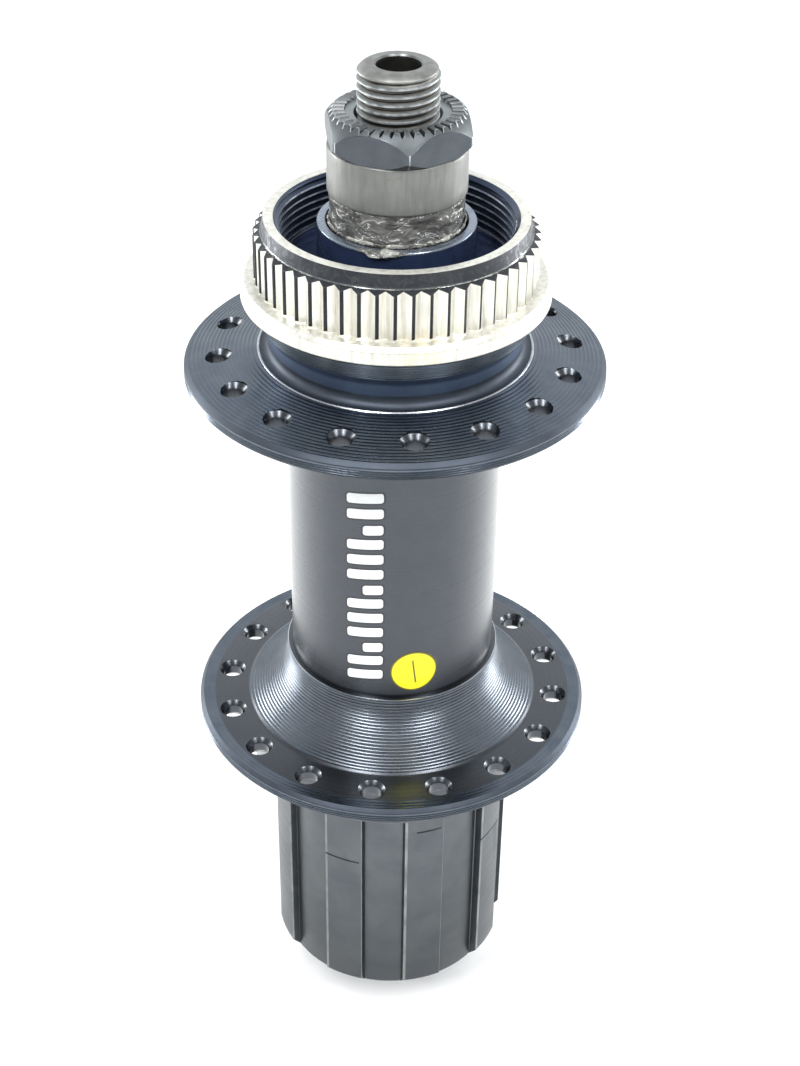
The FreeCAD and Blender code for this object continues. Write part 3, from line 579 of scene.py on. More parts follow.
# the freehub's tint darkens towards its lower end: painted shade
FREEHUB_STEEL = painted_shade_below(metal("freehub_steel", (0.12, 0.13, 0.138), (0.092, 0.102, 0.112),
    (0.30, 0.42), lines=1.2, cloud=0.2, grain_depth=0.003), -38.0, -64.0, 0.6)
# pale tint for rib corners, chamfer edges and the axle bore's edge: wear with a painted highlight
WORN_EDGE_HIGHLIGHT = metal("worn_edge_steel", (0.25, 0.26, 0.26), (0.14, 0.15, 0.155), (0.25, 0.40))
CORE_STEEL = metal("core_steel", (0.34, 0.34, 0.35), (0.25, 0.25, 0.26), (0.30, 0.45))
BOLT_STEEL = metal("bolt_steel", (0.48, 0.48, 0.48), (0.36, 0.36, 0.37), (0.22, 0.36))
PAWL_STEEL = metal("pawl_steel", (0.46, 0.46, 0.48), (0.34, 0.34, 0.37), (0.18, 0.30))
SPRING_STEEL = metal("spring_steel", (0.55, 0.55, 0.57), (0.42, 0.42, 0.45), (0.15, 0.25))
RETAINER_STEEL = metal("retainer_steel", (0.55, 0.48, 0.33), (0.42, 0.36, 0.24), (0.22, 0.36))
BALL_STEEL = bearing_polish("ball_steel")
# the last tint of each is the colour of its painted glints
SEAL_RUBBER = rubber("greasy_rubber", (0.075, 0.074, 0.07), (0.15, 0.15, 0.14), (0.34, 0.12),
    (0.62, 0.62, 0.60))
GREASE = rubber("grease", (0.11, 0.11, 0.10), (0.30, 0.30, 0.27), (0.14, 0.05),
    (0.75, 0.75, 0.72), 2.4)
WHITE_PRINT = paint_film("white_print", (0.90, 0.91, 0.91), (0.82, 0.83, 0.84), (0.35, 0.5))
DARK_PRINT = paint_film("print_outline", (0.02, 0.022, 0.026), (0.03, 0.032, 0.036), (0.35, 0.5))
OXIDE_CONE = metal("oxide_chamfer", (0.125, 0.137, 0.142), (0.092, 0.103, 0.108), (0.46, 0.56),
    lines=5.0, depth=0.004, grain_depth=0.004)
SERRATION = metal("serrated_steel", (0.25, 0.26, 0.265), (0.15, 0.155, 0.16), (0.48, 0.58),
    lines=5.0)
# pale strips on the nuts' serration edges and hex corners and on the axle's thread crests:
# painted highlights
NUT_GLINT = metal("worn_nut_edge", (0.52, 0.55, 0.56), (0.20, 0.215, 0.22), (0.35, 0.5),
    lines=5.0, cloud=0.9)
# darker tint for the deepest part of each nut serration notch
SERRATION_VALLEY = metal("serrated_steel_oiled", (0.065, 0.068, 0.07), (0.035, 0.036, 0.038),
    (0.35, 0.5), lines=5.0)
LAND = metal("spline_land_black", (0.045, 0.045, 0.05), (0.03, 0.03, 0.035), (0.35, 0.5))
# pale strip where the rim's wall meets the tooth tops: painted highlight line
RIM_FOOT_GLINT = metal("oily_edge", (0.42, 0.44, 0.44), (0.12, 0.125, 0.13), (0.12, 0.3), cloud=0.45)
THREAD_BLACK = metal("thread_anodised", (0.045, 0.062, 0.10), (0.03, 0.044, 0.078), (0.18, 0.28),
    lines=2.0, metallic=0.6)
# pale crests of the thread inside the rotor tube: painted highlights
THREAD_CREST = metal("thread_crest_worn", (0.62, 0.65, 0.70), (0.25, 0.27, 0.32), (0.25, 0.35),
    lines=2.0, cloud=0.6, metallic=0.6)
# dark tint for the freehub ribs' side walls, where it is painted shade, and for the sprocket
# scratches
WALL_SHADE_AND_SCRATCH = metal("groove_wall_steel", (0.05, 0.055, 0.06), (0.035, 0.04, 0.045), (0.35, 0.5))


# ---- axle set
def make_axle():
    """A hollow axle whose two ends carry a rolled thread of 1 mm pitch."""
    angles = even_angles(120, FRONT)
    columns = len(angles)
    steps = 12
    crest = AXLE_RADIUS - 0.04
    depth = 0.6
    thread_low = 60.5
    tip = 3.95
    dome = 1.0
    chamfer = 0.2
    bore_middle = 30.0

    def surface(phase, heights):
        from_end = np.clip((AXLE_END - heights) / dome, 0.0, 1.0)
        fade = np.clip((AXLE_END - heights) / dome - 0.35, 0.0, 1.0)
        outer = tip + (crest - tip) * (1.0 - (1.0 - from_end) ** 2.2)
        cut = outer - depth * fade * (1.0 - thread_form(phase))
        return np.minimum(cut, crest - 0.5 + (heights - thread_low) * 1.2)

    thread, climb = helix(angles, thread_low, AXLE_END, THREAD_PITCH, steps, surface)
    paint = thread_paint(thread, climb, crest, depth, dome)
    waist = Outline().to(crest - 0.3, thread_low - 2).to(crest - 0.3, -thread_low + 2)
    bore = Outline()
    # the bore's chamfers take the pale edge tint: wear with a painted highlight
    bore.to(AXLE_BORE + chamfer, -AXLE_END, 2).to(AXLE_BORE, -AXLE_END + chamfer, 2)
    bore.to(AXLE_BORE, -bore_middle, 1).to(AXLE_BORE, bore_middle, 1)
    bore.to(AXLE_BORE, AXLE_END - chamfer, 1).to(AXLE_BORE + chamfer, AXLE_END, 2)
    (radii, heights, paints), starts = joined(
        bore.tiled(columns), (thread[:, ::-1], climb[:, ::-1], paint[:, ::-1]),
        waist.tiled(columns), (thread, -climb, paint))
    helices = [(starts[1], starts[2] - 1, -steps), (starts[3], starts[4] - 1, steps)]
    piece = skin("axle_threaded", angles, radii, heights, paints,
                 [AXLE_STEEL, THREAD_ROOT, WORN_EDGE_HIGHLIGHT, NUT_GLINT], helices, sharp=40.0)
    return ride(piece, "axle_set", "axle_steel", "axle")


def thread_paint(radii, heights, crest, depth, dome):
    """Paint 1 in the lower part of each thread groove and 3, a painted highlight, on its crest,
    else 0.
    """
    in_thread = np.abs(heights) < AXLE_END - dome * 0.7
    paint = np.where(radii > crest - 0.045, 3, 0)
    paint = np.where(radii < crest - depth * 0.55, 1, paint)
    return np.where(in_thread, paint, 0)


def make_locknut(name, node, inner, face):
    """A hexagon nut: cone on its corners and a serrated ring on its outer face."""
    serrations = 40
    angles = even_angles(serrations * 8, NUT_CORNER_ANGLE)
    side = 1.0 if face > inner else -1.0
    depth = (face - inner) * side
    apothem = NUT_FLATS / 2
    ring_inner = 6.4
    seat = 0.5
    gap = 0.05
    from_corner = (angles - NUT_CORNER_ANGLE) % 60.0
    hexagon = np.minimum(apothem / np.cos(np.radians(from_corner - 30.0)), NUT_CORNER)
    skirt = np.minimum(hexagon, apothem + 0.22)
    tooth = np.abs(2.0 * (((angles - NUT_CORNER_ANGLE) / 360.0 * serrations) % 1.0) - 1.0)
    notch = NUT_NOTCH * np.clip(1.6 * (1.0 - tooth) - 0.6, 0.0, 1.0)

    def cone(radius):
        """How far the cone has dropped below the face at a radius."""
        out = radius - NUT_RING
        return CONE_SLOPE * out + CONE_CURVE * out * out

    # where a notch as deep as this one runs out into the cone
    ring_outer = NUT_RING + (np.sqrt(CONE_SLOPE ** 2 + 4 * CONE_CURVE * notch)
                             - CONE_SLOPE) / (2 * CONE_CURVE)
    cone_side, tooth_top, ground, thread, flat, valley, glint = range(7)
    # each row: radius, distance below the face, paint
    rows = [(AXLE_RADIUS, depth, thread), (AXLE_RADIUS, 0.85, thread),
            (AXLE_RADIUS + 0.3, seat, thread), (ring_inner - 0.2, seat, ground),
            (ring_inner - 0.04, seat - 0.04, ground),
            (ring_inner, 0.02 + notch * 0.8, tooth_top), (ring_inner + 0.12, notch, tooth_top),
            # the strip at the ring's outer edge carries a painted highlight
            (ring_outer - 0.14, notch, tooth_top), (ring_outer, notch + 0.02, glint),
            (ring_outer + gap, cone(ring_outer + gap), glint)]
    for part in (0.3, 0.6, 0.85):
        radius = ring_outer + gap + (hexagon - ring_outer - 2 * gap) * part
        rows.append((radius, cone(radius), cone_side))
    rows += [(hexagon - 0.04, cone(hexagon) - 0.03, cone_side),
             (hexagon, cone(hexagon) + 0.04, flat),
             (hexagon, depth - 0.04 - (hexagon - skirt), flat), (skirt, depth - 0.03, flat),
             (skirt - gap, depth, flat)]
    radii, below, paints = spread(rows, len(angles))
    deep = (notch > NUT_NOTCH * 0.35)[:, None]
    corner = (np.minimum(from_corner, 60.0 - from_corner) < 0.6)[:, None]
    # the deep parts of the notches take the darker tint
    paints = np.where(deep & (paints == tooth_top), valley, paints)
    # a thin strip at each hex corner carries a painted highlight
    paints = np.where(corner & (paints == flat), glint, paints)
    piece = skin(name, angles, radii, face - side * below, paints,
                 [OXIDE_CONE, SERRATION, NUT_FACE, THREAD_ROOT, OXIDE, SERRATION_VALLEY,
                  NUT_GLINT], sharp=24.0)
    return ride(piece, "axle_set", "black_oxide", node)


def make_spacer():
    outline = Outline()
    outline.to(AXLE_RADIUS, SPACER_LOW).to(AXLE_RADIUS, SPACER_HIGH)
    outline.to(SPACER_RADIUS, SPACER_HIGH, soft=0.35)
    for part in (0.75, 0.5, 0.25):
        outline.to(SPACER_RADIUS, SPACER_LOW + (SPACER_HIGH - SPACER_LOW) * part)
    outline.to(SPACER_RADIUS, SPACER_LOW, soft=0.3)
    return ride(turned("spacer_collar", outline, [SPACER_STEEL]),
                "axle_set", "spacer_steel", "left_spacer")


def lumps(angles, heights, size, seed):
    """Smooth noise round a ring, as a grid of values from about -1 to 1."""
    turns, levels = np.broadcast_arrays(np.radians(angles), heights)
    grid = np.zeros(turns.shape)
    for index in np.ndindex(grid.shape):
        grid[index] = noise.noise(Vector((*polar(SEAL_RADIUS / size, turns[index]),
                                          levels[index] / size + seed)))
    return grid


def make_cone_seal():
    """The rubber seal under the spacer, uneven with old grease."""
    inner = 7.4
    top = SEAL_HIGH - 0.02
    first = 0.25
    step = 0.22
    swell = 0.19
    outline = Outline()
    outline.to(inner, SEAL_LOW).to(inner, top).to(SEAL_RADIUS - 0.35, top)
    for number in range(25):
        outline.to(SEAL_RADIUS - 0.2, SEAL_HIGH - first - number * step)
    outline.to(SEAL_RADIUS - 0.3, SEAL_LOW)

    def shape(angles, radii, heights):
        outside = radii > SEAL_RADIUS - 0.25
        wave = lumps(angles, heights * 1.8, 2.2, 3.0) + 0.3 * lumps(angles, heights, 0.8, 9.0)
        return radii + np.where(outside, swell * np.clip(wave, -1.0, 0.95), 0.0), heights

    return ride(turned("cone_seal_greasy", outline, [SEAL_RUBBER], 200, 60.0, shape),
                "axle_set", "seal_rubber", "left_cone_seal")


def make_grease_ring():
    """Grease squeezed out between the seal and the dust cap's lip, riding with the seal."""
    radius = 8.42
    root = 8.36
    middle = CAP_LIP + 0.15
    outline = Outline().bead(radius, middle, 0.22, 0.42, 10)

    def shape(angles, radii, heights):
        flat = np.zeros((1, 1))
        wave = lumps(angles, flat, 1.8, 5.0) + 0.6 * lumps(angles, flat, 0.7, 2.0)
        front = 0.5 + 0.5 * np.cos(np.radians(angles - FRONT))
        swell = np.clip(0.35 + 0.75 * wave + 0.35 * front, 0.05, 1.0)
        return root + (radii - root) * swell, middle + (heights - middle) * swell

    return ride(turned("grease_ring", outline, [GREASE], 200, 60.0, shape),
                "axle_set", "seal_rubber")


def make_grease_blob():
    """A lump of grease on the dust cap's lip at the front; elsewhere it sinks into the lip."""
    radius = 9.62
    height = CAP_LIP - 0.2
    middle = FRONT - 9.0
    width = 230.0
    outline = Outline().bead(radius, height, 0.86, 0.62, 12)

    def shape(angles, radii, heights):
        here = np.exp(-((angles - middle + 180.0) % 360.0 - 180.0) ** 2 / width)
        wave = lumps(angles, (heights - height) * 2.0, 1.1, 4.0)
        swell = np.clip(here * (0.95 + 0.9 * wave), 0.05, 1.0)
        return radius + (radii - radius) * swell, height + (heights - height) * swell

    return ride(turned("grease_blob", outline, [GREASE], 300, 60.0, shape),
                "hub_shell", "cap_blue_black")


# ---- shell
def make_dust_cap():
    """A cap with a raised lip round the axle set."""
    inner = 8.7
    floor_top = CAP_FLOOR + 0.8
    lip_outer = 9.85
    outline = Outline()
    outline.to(inner, CAP_FLOOR, 1).to(inner, CAP_LIP, 1, 0.15)
    outline.to(lip_outer, CAP_LIP, 0, 0.3).to(lip_outer, floor_top, 1, 0.35)
    outline.to(CAP_RADIUS - 0.5, floor_top, 1, 0.3).to(CAP_RADIUS - 0.35, floor_top + 0.25, 1)
    outline.to(CAP_RADIUS, floor_top + 0.25, 1).to(CAP_RADIUS, CAP_FLOOR, 1)
    return ride(turned("dust_cap_lipped", outline, [CAP_METAL, CAP_FLOOR_FINISH]),
                "hub_shell", "cap_blue_black", "left_dust_cap")


def make_rotor_mount():
    """The tube for the rotor: V-grooved outside, threaded inside, a seat below."""
    pitch = 360.0 / SPLINE_COUNT
    land = 0.3
    valley = pitch / 2
    floor = 0.12
    offsets = [-land, land, 1.1, 1.8, 2.5, valley - floor, valley + floor,
               pitch - 2.5, pitch - 1.8, pitch - 1.1]
    angles = np.array([SPLINE_ANGLE + pitch * tooth + offset
                       for tooth in range(SPLINE_COUNT) for offset in offsets])
    columns = len(angles)
    beside = np.abs((angles - SPLINE_ANGLE + valley) % pitch - valley)
    flank = flank_radius(np.clip(beside, land, valley - floor), land, valley - floor,
                         SPLINE_TIP, SPLINE_ROOT)
    thread_low = THREAD_FLOOR + 0.6
    thread_high = RIM_TOP - 0.05
    thread_depth = 0.5
    rim_line = 49.0
    bare, oiled, rim, crest, painted_glint, root = range(6)
    thread, climb = inner_thread(angles, thread_low, thread_high, THREAD_RADIUS, thread_depth,
                                 thread_high, 0.12)
    thread = np.where(climb <= thread_low + LEVEL, THREAD_RADIUS, thread)
    # the crests take the painted highlight tint
    thread_paints = np.where(thread < THREAD_RADIUS - thread_depth * 0.66, crest, root)
    slope = (RIM_FOOT[1] - SPLINE_TOP) / (SPLINE_TIP - RIM_FOOT[0])
    groove_top = SPLINE_TOP + (SPLINE_TIP - flank) * slope
    groove_paint = np.where(beside < land + 0.05, oiled, bare)
    outside = spread([
        (THREAD_RADIUS + 0.2, RIM_TOP, bare), (RIM_RADIUS - 0.12, RIM_TOP, bare),
        (RIM_RADIUS - 0.03, RIM_TOP - 0.04, bare), (RIM_RADIUS + 0.01, RIM_TOP - 0.13, rim),
        (RIM_FOOT[0] - 0.12, RIM_FOOT[1] + 0.45, rim),
        (RIM_FOOT[0] - 0.02, RIM_FOOT[1] + 0.12, rim),
        # the strip at the rim's foot takes the painted highlight
        (RIM_FOOT[0] + 0.08, RIM_FOOT[1] - 0.03, painted_glint), (flank - 0.03, groove_top + 0.01, rim),
        (flank, groove_top - 0.04, rim), (flank, rim_line, groove_paint),
        (flank, SEAT_HEIGHT + 0.22, groove_paint), (flank + 0.02, SEAT_HEIGHT + 0.05, bare),
        (flank + 0.07, SEAT_HEIGHT, bare), (SPLINE_TIP + 0.35, SEAT_HEIGHT, bare)], columns)
    seat = Outline()
    seat.to(SPLINE_TIP + 0.5, SEAT_HEIGHT).to(SEAT_RADIUS - 0.55, SEAT_HEIGHT, bare, 0.1)
    seat.to(SEAT_RADIUS, SEAT_HEIGHT - 0.6, bare, 0.12)
    seat.to(SEAT_RADIUS, SEAT_UNDERSIDE, bare, 0.12)
    seat.to(SEAT_RADIUS - 0.35, MOUNT_END, rim).to(CUP_SEAT, MOUNT_END, rim)
    seat.to(CUP_SEAT, THREAD_FLOOR, oiled).to(THREAD_RADIUS, THREAD_FLOOR, oiled)
    (radii, heights, paints), starts = joined((thread, climb, thread_paints), outside,
                                              seat.tiled(columns))
    piece = skin("rotor_mount", angles, radii, heights, paints,
                 [BARE, LAND, RIM_BLACK, THREAD_CREST, RIM_FOOT_GLINT, THREAD_BLACK],
                 [(0, starts[1] - 1, TUBE_STEPS)], sharp=26.0)
    return ride(piece, "hub_shell", "shell_anodised", "hub_shell")


def make_rim_bead():
    """A thin uneven line of old grease where the rim's wall meets the tooth tops."""
    reach, height = RIM_FOOT
    radius = reach + 0.06
    outline = Outline().bead(radius, height, 0.10, 0.10, 8)

    def shape(angles, radii, heights):
        flat = np.zeros((1, 1))
        wave = lumps(angles, flat, 1.3, 5.0) + 0.8 * lumps(angles, flat, 0.35, 2.0)
        swell = np.clip(0.55 + 1.1 * wave, 0.15, 1.7)
        return reach + (radii - reach) * swell, height + (heights - height) * swell

    return ride(turned("rim_bead", outline, [GREASE], 360, 60.0, shape),
                "hub_shell", "shell_anodised")


def flank_radius(beside, land, valley, tip, root):
    """Radius along the straight flank between the land's edge and the valley."""
    turn = np.radians(valley - land)
    run = (root * math.cos(turn) - tip, root * math.sin(turn))
    angle = np.radians(beside - land)
    return tip * run[1] / (np.cos(angle) * run[1] - np.sin(angle) * run[0])


def spoke_cutter(name, mount, angle, low, high):
    """All the spoke holes of one flange as one mesh of separate countersunk plugs."""
    dims = MOUNTS[mount]["dims"]
    reach = dims["pcd_mm"] / 2
    hole = dims["hole_r_mm"]
    wide = hole + HOLE_SINK
    sides = 32
    soft = 0.1
    section = [(wide, low - 1.0), (wide, low), (hole + 0.12, low + HOLE_SINK - soft),
               (hole, low + HOLE_SINK + soft), (hole, high - HOLE_SINK - soft),
               (hole + 0.12, high - HOLE_SINK + soft), (wide, high), (wide, high + 1.0)]
    points = []
    faces = []
    for number in range(dims["count"]):
        hole_x, hole_y = polar(reach, math.radians(angle + number * 360.0 / dims["count"]))
        base = len(points)
        for radius, height in section:
            for side in range(sides):
                x, y = polar(radius, TURN * side / sides)
                points.append(((hole_x + x) * MM, (hole_y + y) * MM, height * MM))
        for row in range(base, base + (len(section) - 1) * sides, sides):
            for side in range(sides):
                after = (side + 1) % sides
                faces.append((row + side, row + after, row + sides + after,
                              row + sides + side))
        faces.append(tuple(base + side for side in reversed(range(sides))))
        faces.append(tuple(len(points) - sides + side for side in range(sides)))
    return add_object(name, new_mesh(name, points, faces))


def cut(piece, cutters):
    """Subtracts each cutter from the piece and removes it."""
    for cutter in cutters:
        modifier = piece.modifiers.new("cut", "BOOLEAN")
        modifier.object = cutter
        modifier.solver = "MANIFOLD"
    graph = bpy.context.evaluated_depsgraph_get()
    old = piece.data
    piece.data = bpy.data.meshes.new_from_object(piece.evaluated_get(graph))
    piece.modifiers.clear()
    bpy.data.meshes.remove(old)
    for cutter in cutters:
        bpy.data.objects.remove(cutter)
    piece.data.shade_smooth()
    piece.data.set_sharp_from_angle(angle=math.radians(26.0))
    return piece


def make_shell():
    """Taper, neck, both spoke flanges, barrel and the right end with its skirt."""
    taper_top, taper_foot = (SEAT_RADIUS - 0.45, MOUNT_END), (17.1, 40.4)
    neck_top, neck_foot, neck_round = 39.3, 37.7, 1.1
    root, face_end, left_edge = (17.75, 36.17), (26.35, 34.7), 26.95
    edge_top, edge_low, left_under = 33.95, 33.0, 32.1
    fillet = (15.6, 30.5)
    flare_start = (14.75, -10.75)
    flare = curved((23.0, -11.03), flare_start, (20.1, -18.8))
    right_face, right_start, right_edge, right_under = -19.1, 25.3, 27.4, -21.5
    skirt, skirt_bore, skirt_floor = 20.3, 18.9, -25.4
    carrier_bore, carrier_top, inner_bore, barrel_bore = 9.8, -21.0, 8.0, 11.5
    line = 0.08
    black, blue, lines, taper, glint, flared, edge = range(7)

    outline = Outline()
    outline.to(CUP_SEAT, MOUNT_END).to(*taper_top)
    outline.groove(straight(taper_top, taper_foot), 6, 0.07, taper, 5)
    outline.to(NECK_RADIUS, neck_top, blue, 0.4).to(NECK_RADIUS, neck_foot, blue)
    outline.arc((NECK_RADIUS + neck_round, neck_foot - 0.4), 17.25, 36.2, edge, 7)
    # a thin ring beyond the neck fillet is painted as a highlight line
    for point in ((17.32, 36.26), (17.5, 36.27), (17.62, 36.16)):
        outline.to(*point, glint)
    outline.to(*root, lines)
    outline.groove(straight(root, face_end), 16, 0.07, lines, 6)
    outline.to(left_edge, 34.15, edge, 0.3)
    outline.groove(straight((left_edge, edge_top), (left_edge, edge_low)), 3, line, lines, 4)
    outline.to(left_edge - 0.5, edge_low - 0.6, edge, 0.15).to(fillet[0], left_under)
    outline.arc(fillet, BARREL_RADIUS, fillet[1], black, 8)
    for height in (25.0, 20.0, 15.0, 10.0, 5.0, 0.0, -5.0, FLARE_TOP):
        outline.to(BARREL_RADIUS, height)
    # the step above the flare carries a painted highlight line
    outline.to(14.6, FLARE_TOP).to(14.72, FLARE_TOP - 0.04, glint).to(*flare_start, flared)
    outline.groove(flare, 22, line, flared, 6)
    outline.to(20.5, right_face, black, 0.2).to(right_start, right_face)
    outline.groove(straight((right_start, right_face), (right_edge - 0.5, right_face)),
                   3, line / 2, lines, 6)
    outline.to(right_edge, right_face - 0.5, edge, 0.15)
    outline.groove(straight((right_edge, -19.75), (right_edge, -20.75)), 3, line, lines, 4)
    outline.to(26.8, right_under, edge, 0.15).to(skirt + 1.0, right_under - 0.2)
    outline.to(skirt, right_under - 1.2, black, 0.2).to(skirt, SHELL_END, black, 0.25)
    outline.to(skirt_bore, SHELL_END, black, 0.1).to(skirt_bore, skirt_floor)
    outline.to(carrier_bore, skirt_floor).to(carrier_bore, carrier_top)
    outline.to(inner_bore, carrier_top).to(inner_bore, FLARE_TOP)
    outline.to(barrel_bore, -7.1).to(barrel_bore, 36.0).to(CUP_SEAT, 37.4)
    piece = turned("hub_shell_turned", outline,
                   [BLACK, BLUE_BLACK, GROOVED, TAPER_BLACK, PAINTED_HIGHLIGHT_EDGE, FLARE_BLACK,
                    EDGE_BLACK], 224, 26.0)
    fall = (root[1] - face_end[1]) / (face_end[0] - root[0])
    top = root[1] - (LEFT_HOLE_CIRCLE - root[0]) * fall
    cut(piece, [spoke_cutter("left_holes", "left_spoke_holes", LEFT_HOLE_ANGLE,
                             left_under + 0.25, top),
                spoke_cutter("right_holes", "right_spoke_holes", RIGHT_HOLE_ANGLE,
                             right_under - 0.1, right_face)])
    return ride(piece, "hub_shell", "shell_anodised", "hub_shell")


# ---- marks on the barrel
def barrel_patch(name, edges, angle, height, thickness, paint):
    """A thin film bent round the barrel. Each of the edges is (across, lowest, highest)."""
    under = -0.04
    fall = (0.0, 0.06, 0.3, 0.5, 0.7, 0.94, 1.0)
    rows = len(fall)
    last = len(edges) - 1
    points = []
    for layer in (0, 1):
        for index, (across, low, high) in enumerate(edges):
            turn = math.radians(angle) + across / BARREL_RADIUS
            for row in range(rows):
                rim = index in (0, last) or row in (0, rows - 1)
                lift = under if layer == 0 else thickness * (0.5 if rim else 1.0)
                x, y = polar(BARREL_RADIUS + lift, turn)
                level = height + low + (high - low) * fall[row]
                points.append((x * MM, y * MM, level * MM))
    top = len(edges) * rows
    faces = []
    for index in range(last):
        for row in range(rows - 1):
            a = index * rows + row
            faces.append((a, a + 1, a + rows + 1, a + rows))
            faces.append((top + a, top + a + rows, top + a + rows + 1, top + a + 1))
    ring = [index * rows for index in range(last + 1)]
    ring += [last * rows + row for row in range(1, rows)]
    ring += [index * rows + rows - 1 for index in reversed(range(last))]
    ring += list(reversed(range(1, rows - 1)))
    for here, after in zip(ring, ring[1:] + ring[:1]):
        faces.append((here, after, top + after, top + here))
    return finish_mesh(name, new_mesh(name, points, faces), [paint], 50.0)


def bar_edges(width, tall, slant, corner, grow=0.0, steps=6):
    """A slanted bar with round corners, as (across, lowest, highest) columns."""
    half_u = width / 2 + grow
    half_v = tall / 2 + grow
    corner = min(corner + grow, half_v * 0.98)
    turns = [math.radians(90.0 * step / steps) for step in range(steps + 1)]
    across = [-half_u + corner * (1 - math.cos(turn)) for turn in turns]
    drop = [corner * (1 - math.sin(turn)) for turn in turns]
    middle = 8
    columns = list(zip(across, drop))
    columns += [(-half_u + corner + (2 * half_u - 2 * corner) * i / middle, 0.0)
                for i in range(1, middle)]
    columns += [(-u, v) for u, v in reversed(list(zip(across, drop)))]
    return [(u, slant * u - half_v + v, slant * u + half_v - v - 1e-4) for u, v in columns]


def make_mark():
    """A generic ladder of slanted white bars with dark outlines, where hubs carry a mark."""
    angle = FRONT - 15.0
    width = 4.9
    low = -8.2
    high = 22.4
    bars = 13
    pitch = (high - low) / bars
    tall = pitch * 0.62
    slant = 0.14
    corner = 0.4
    outline = 0.24
    for number in range(bars):
        height = low + pitch * (number + 0.5)
        short = number % 4 == 2
        wide = width * (0.55 if short else 1.0)
        shift = math.degrees(width * 0.22 / BARREL_RADIUS) if short else 0.0
        for name, grow, thickness, film in (("mark_outline_%d", outline, 0.012, DARK_PRINT),
                                            ("mark_bar_%d", 0.0, 0.03, WHITE_PRINT)):
            edges = bar_edges(wide, tall, slant, corner, grow)
            ride(barrel_patch(name % number, edges, angle + shift, height, thickness, film),
                 "hub_shell", "shell_anodised")


def make_label():
    """The round yellow sticker, plain apart from its rim and one line."""
    low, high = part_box("inspection_label")
    size = (high.z - low.z) / MM / 2
    height = (high.z + low.z) / MM / 2
    angle = FRONT + 12.35
    turn = math.radians(angle)
    centre = (*polar(BARREL_RADIUS, turn), height)
    steps = [math.radians(7.5 * step) for step in range(1, 24)]
    edges = [(-size * math.cos(step), -size * math.sin(step), size * math.sin(step))
             for step in steps]
    sideways = (-math.sin(turn), math.cos(turn), 0.12)
    finish = label_print("label_yellow_film", centre, size, sideways)
    piece = barrel_patch("round_label", edges, angle, height, 0.09, finish)
    return ride(piece, "hub_shell", "label_yellow", "inspection_label")


# ---- freehub body
def rib_profile():
    """Angles and outer radii round the sprocket spline, ribs with crisp edges."""
    # paint 1 on a rib's side wall is painted shade; paint 2 on its corner is wear with a painted
    # highlight
    wall = [(-1.4, 0.0, 0), (-0.36, 0.0, 2), (-0.12, -0.05, 2), (0.06, -0.2, 1),
            (0.36, -1.03, 1), (0.62, -1.15, 0), (3.2, -1.15, 0)]
    stops = []
    centres = sorted(centre % 360.0 for centre in RIB_CENTRES)
    for index, centre in enumerate(centres):
        for across in (-4.0, 0.0, 4.0):
            stops.append((centre + across, RIB_RADIUS, 0))
        for offset, drop, paint in wall:
            stops.append((centre + RIB_HALF + offset, RIB_RADIUS + drop, paint))
            stops.append((centre - RIB_HALF - offset, RIB_RADIUS + drop, paint))
        after = centres[(index + 1) % len(centres)]
        gap = (after - centre) % 360.0
        for part in (0.42, 0.5, 0.58):
            stops.append((centre + gap * part, GROOVE_RADIUS, 0))
    stops.sort(key=lambda stop: stop[0])
    angles = np.array([stop[0] for stop in stops])
    radii = np.array([stop[1] for stop in stops])
    paints = np.array([stop[2] for stop in stops])
    return angles, radii, paints


# short scratches left by sprocket edges: first and last angle from the front, and height
WEAR_MARKS = ((-32.7, -15.8, -39.2), (11.0, 22.6, -33.1), (50.5, 68.0, -39.9))


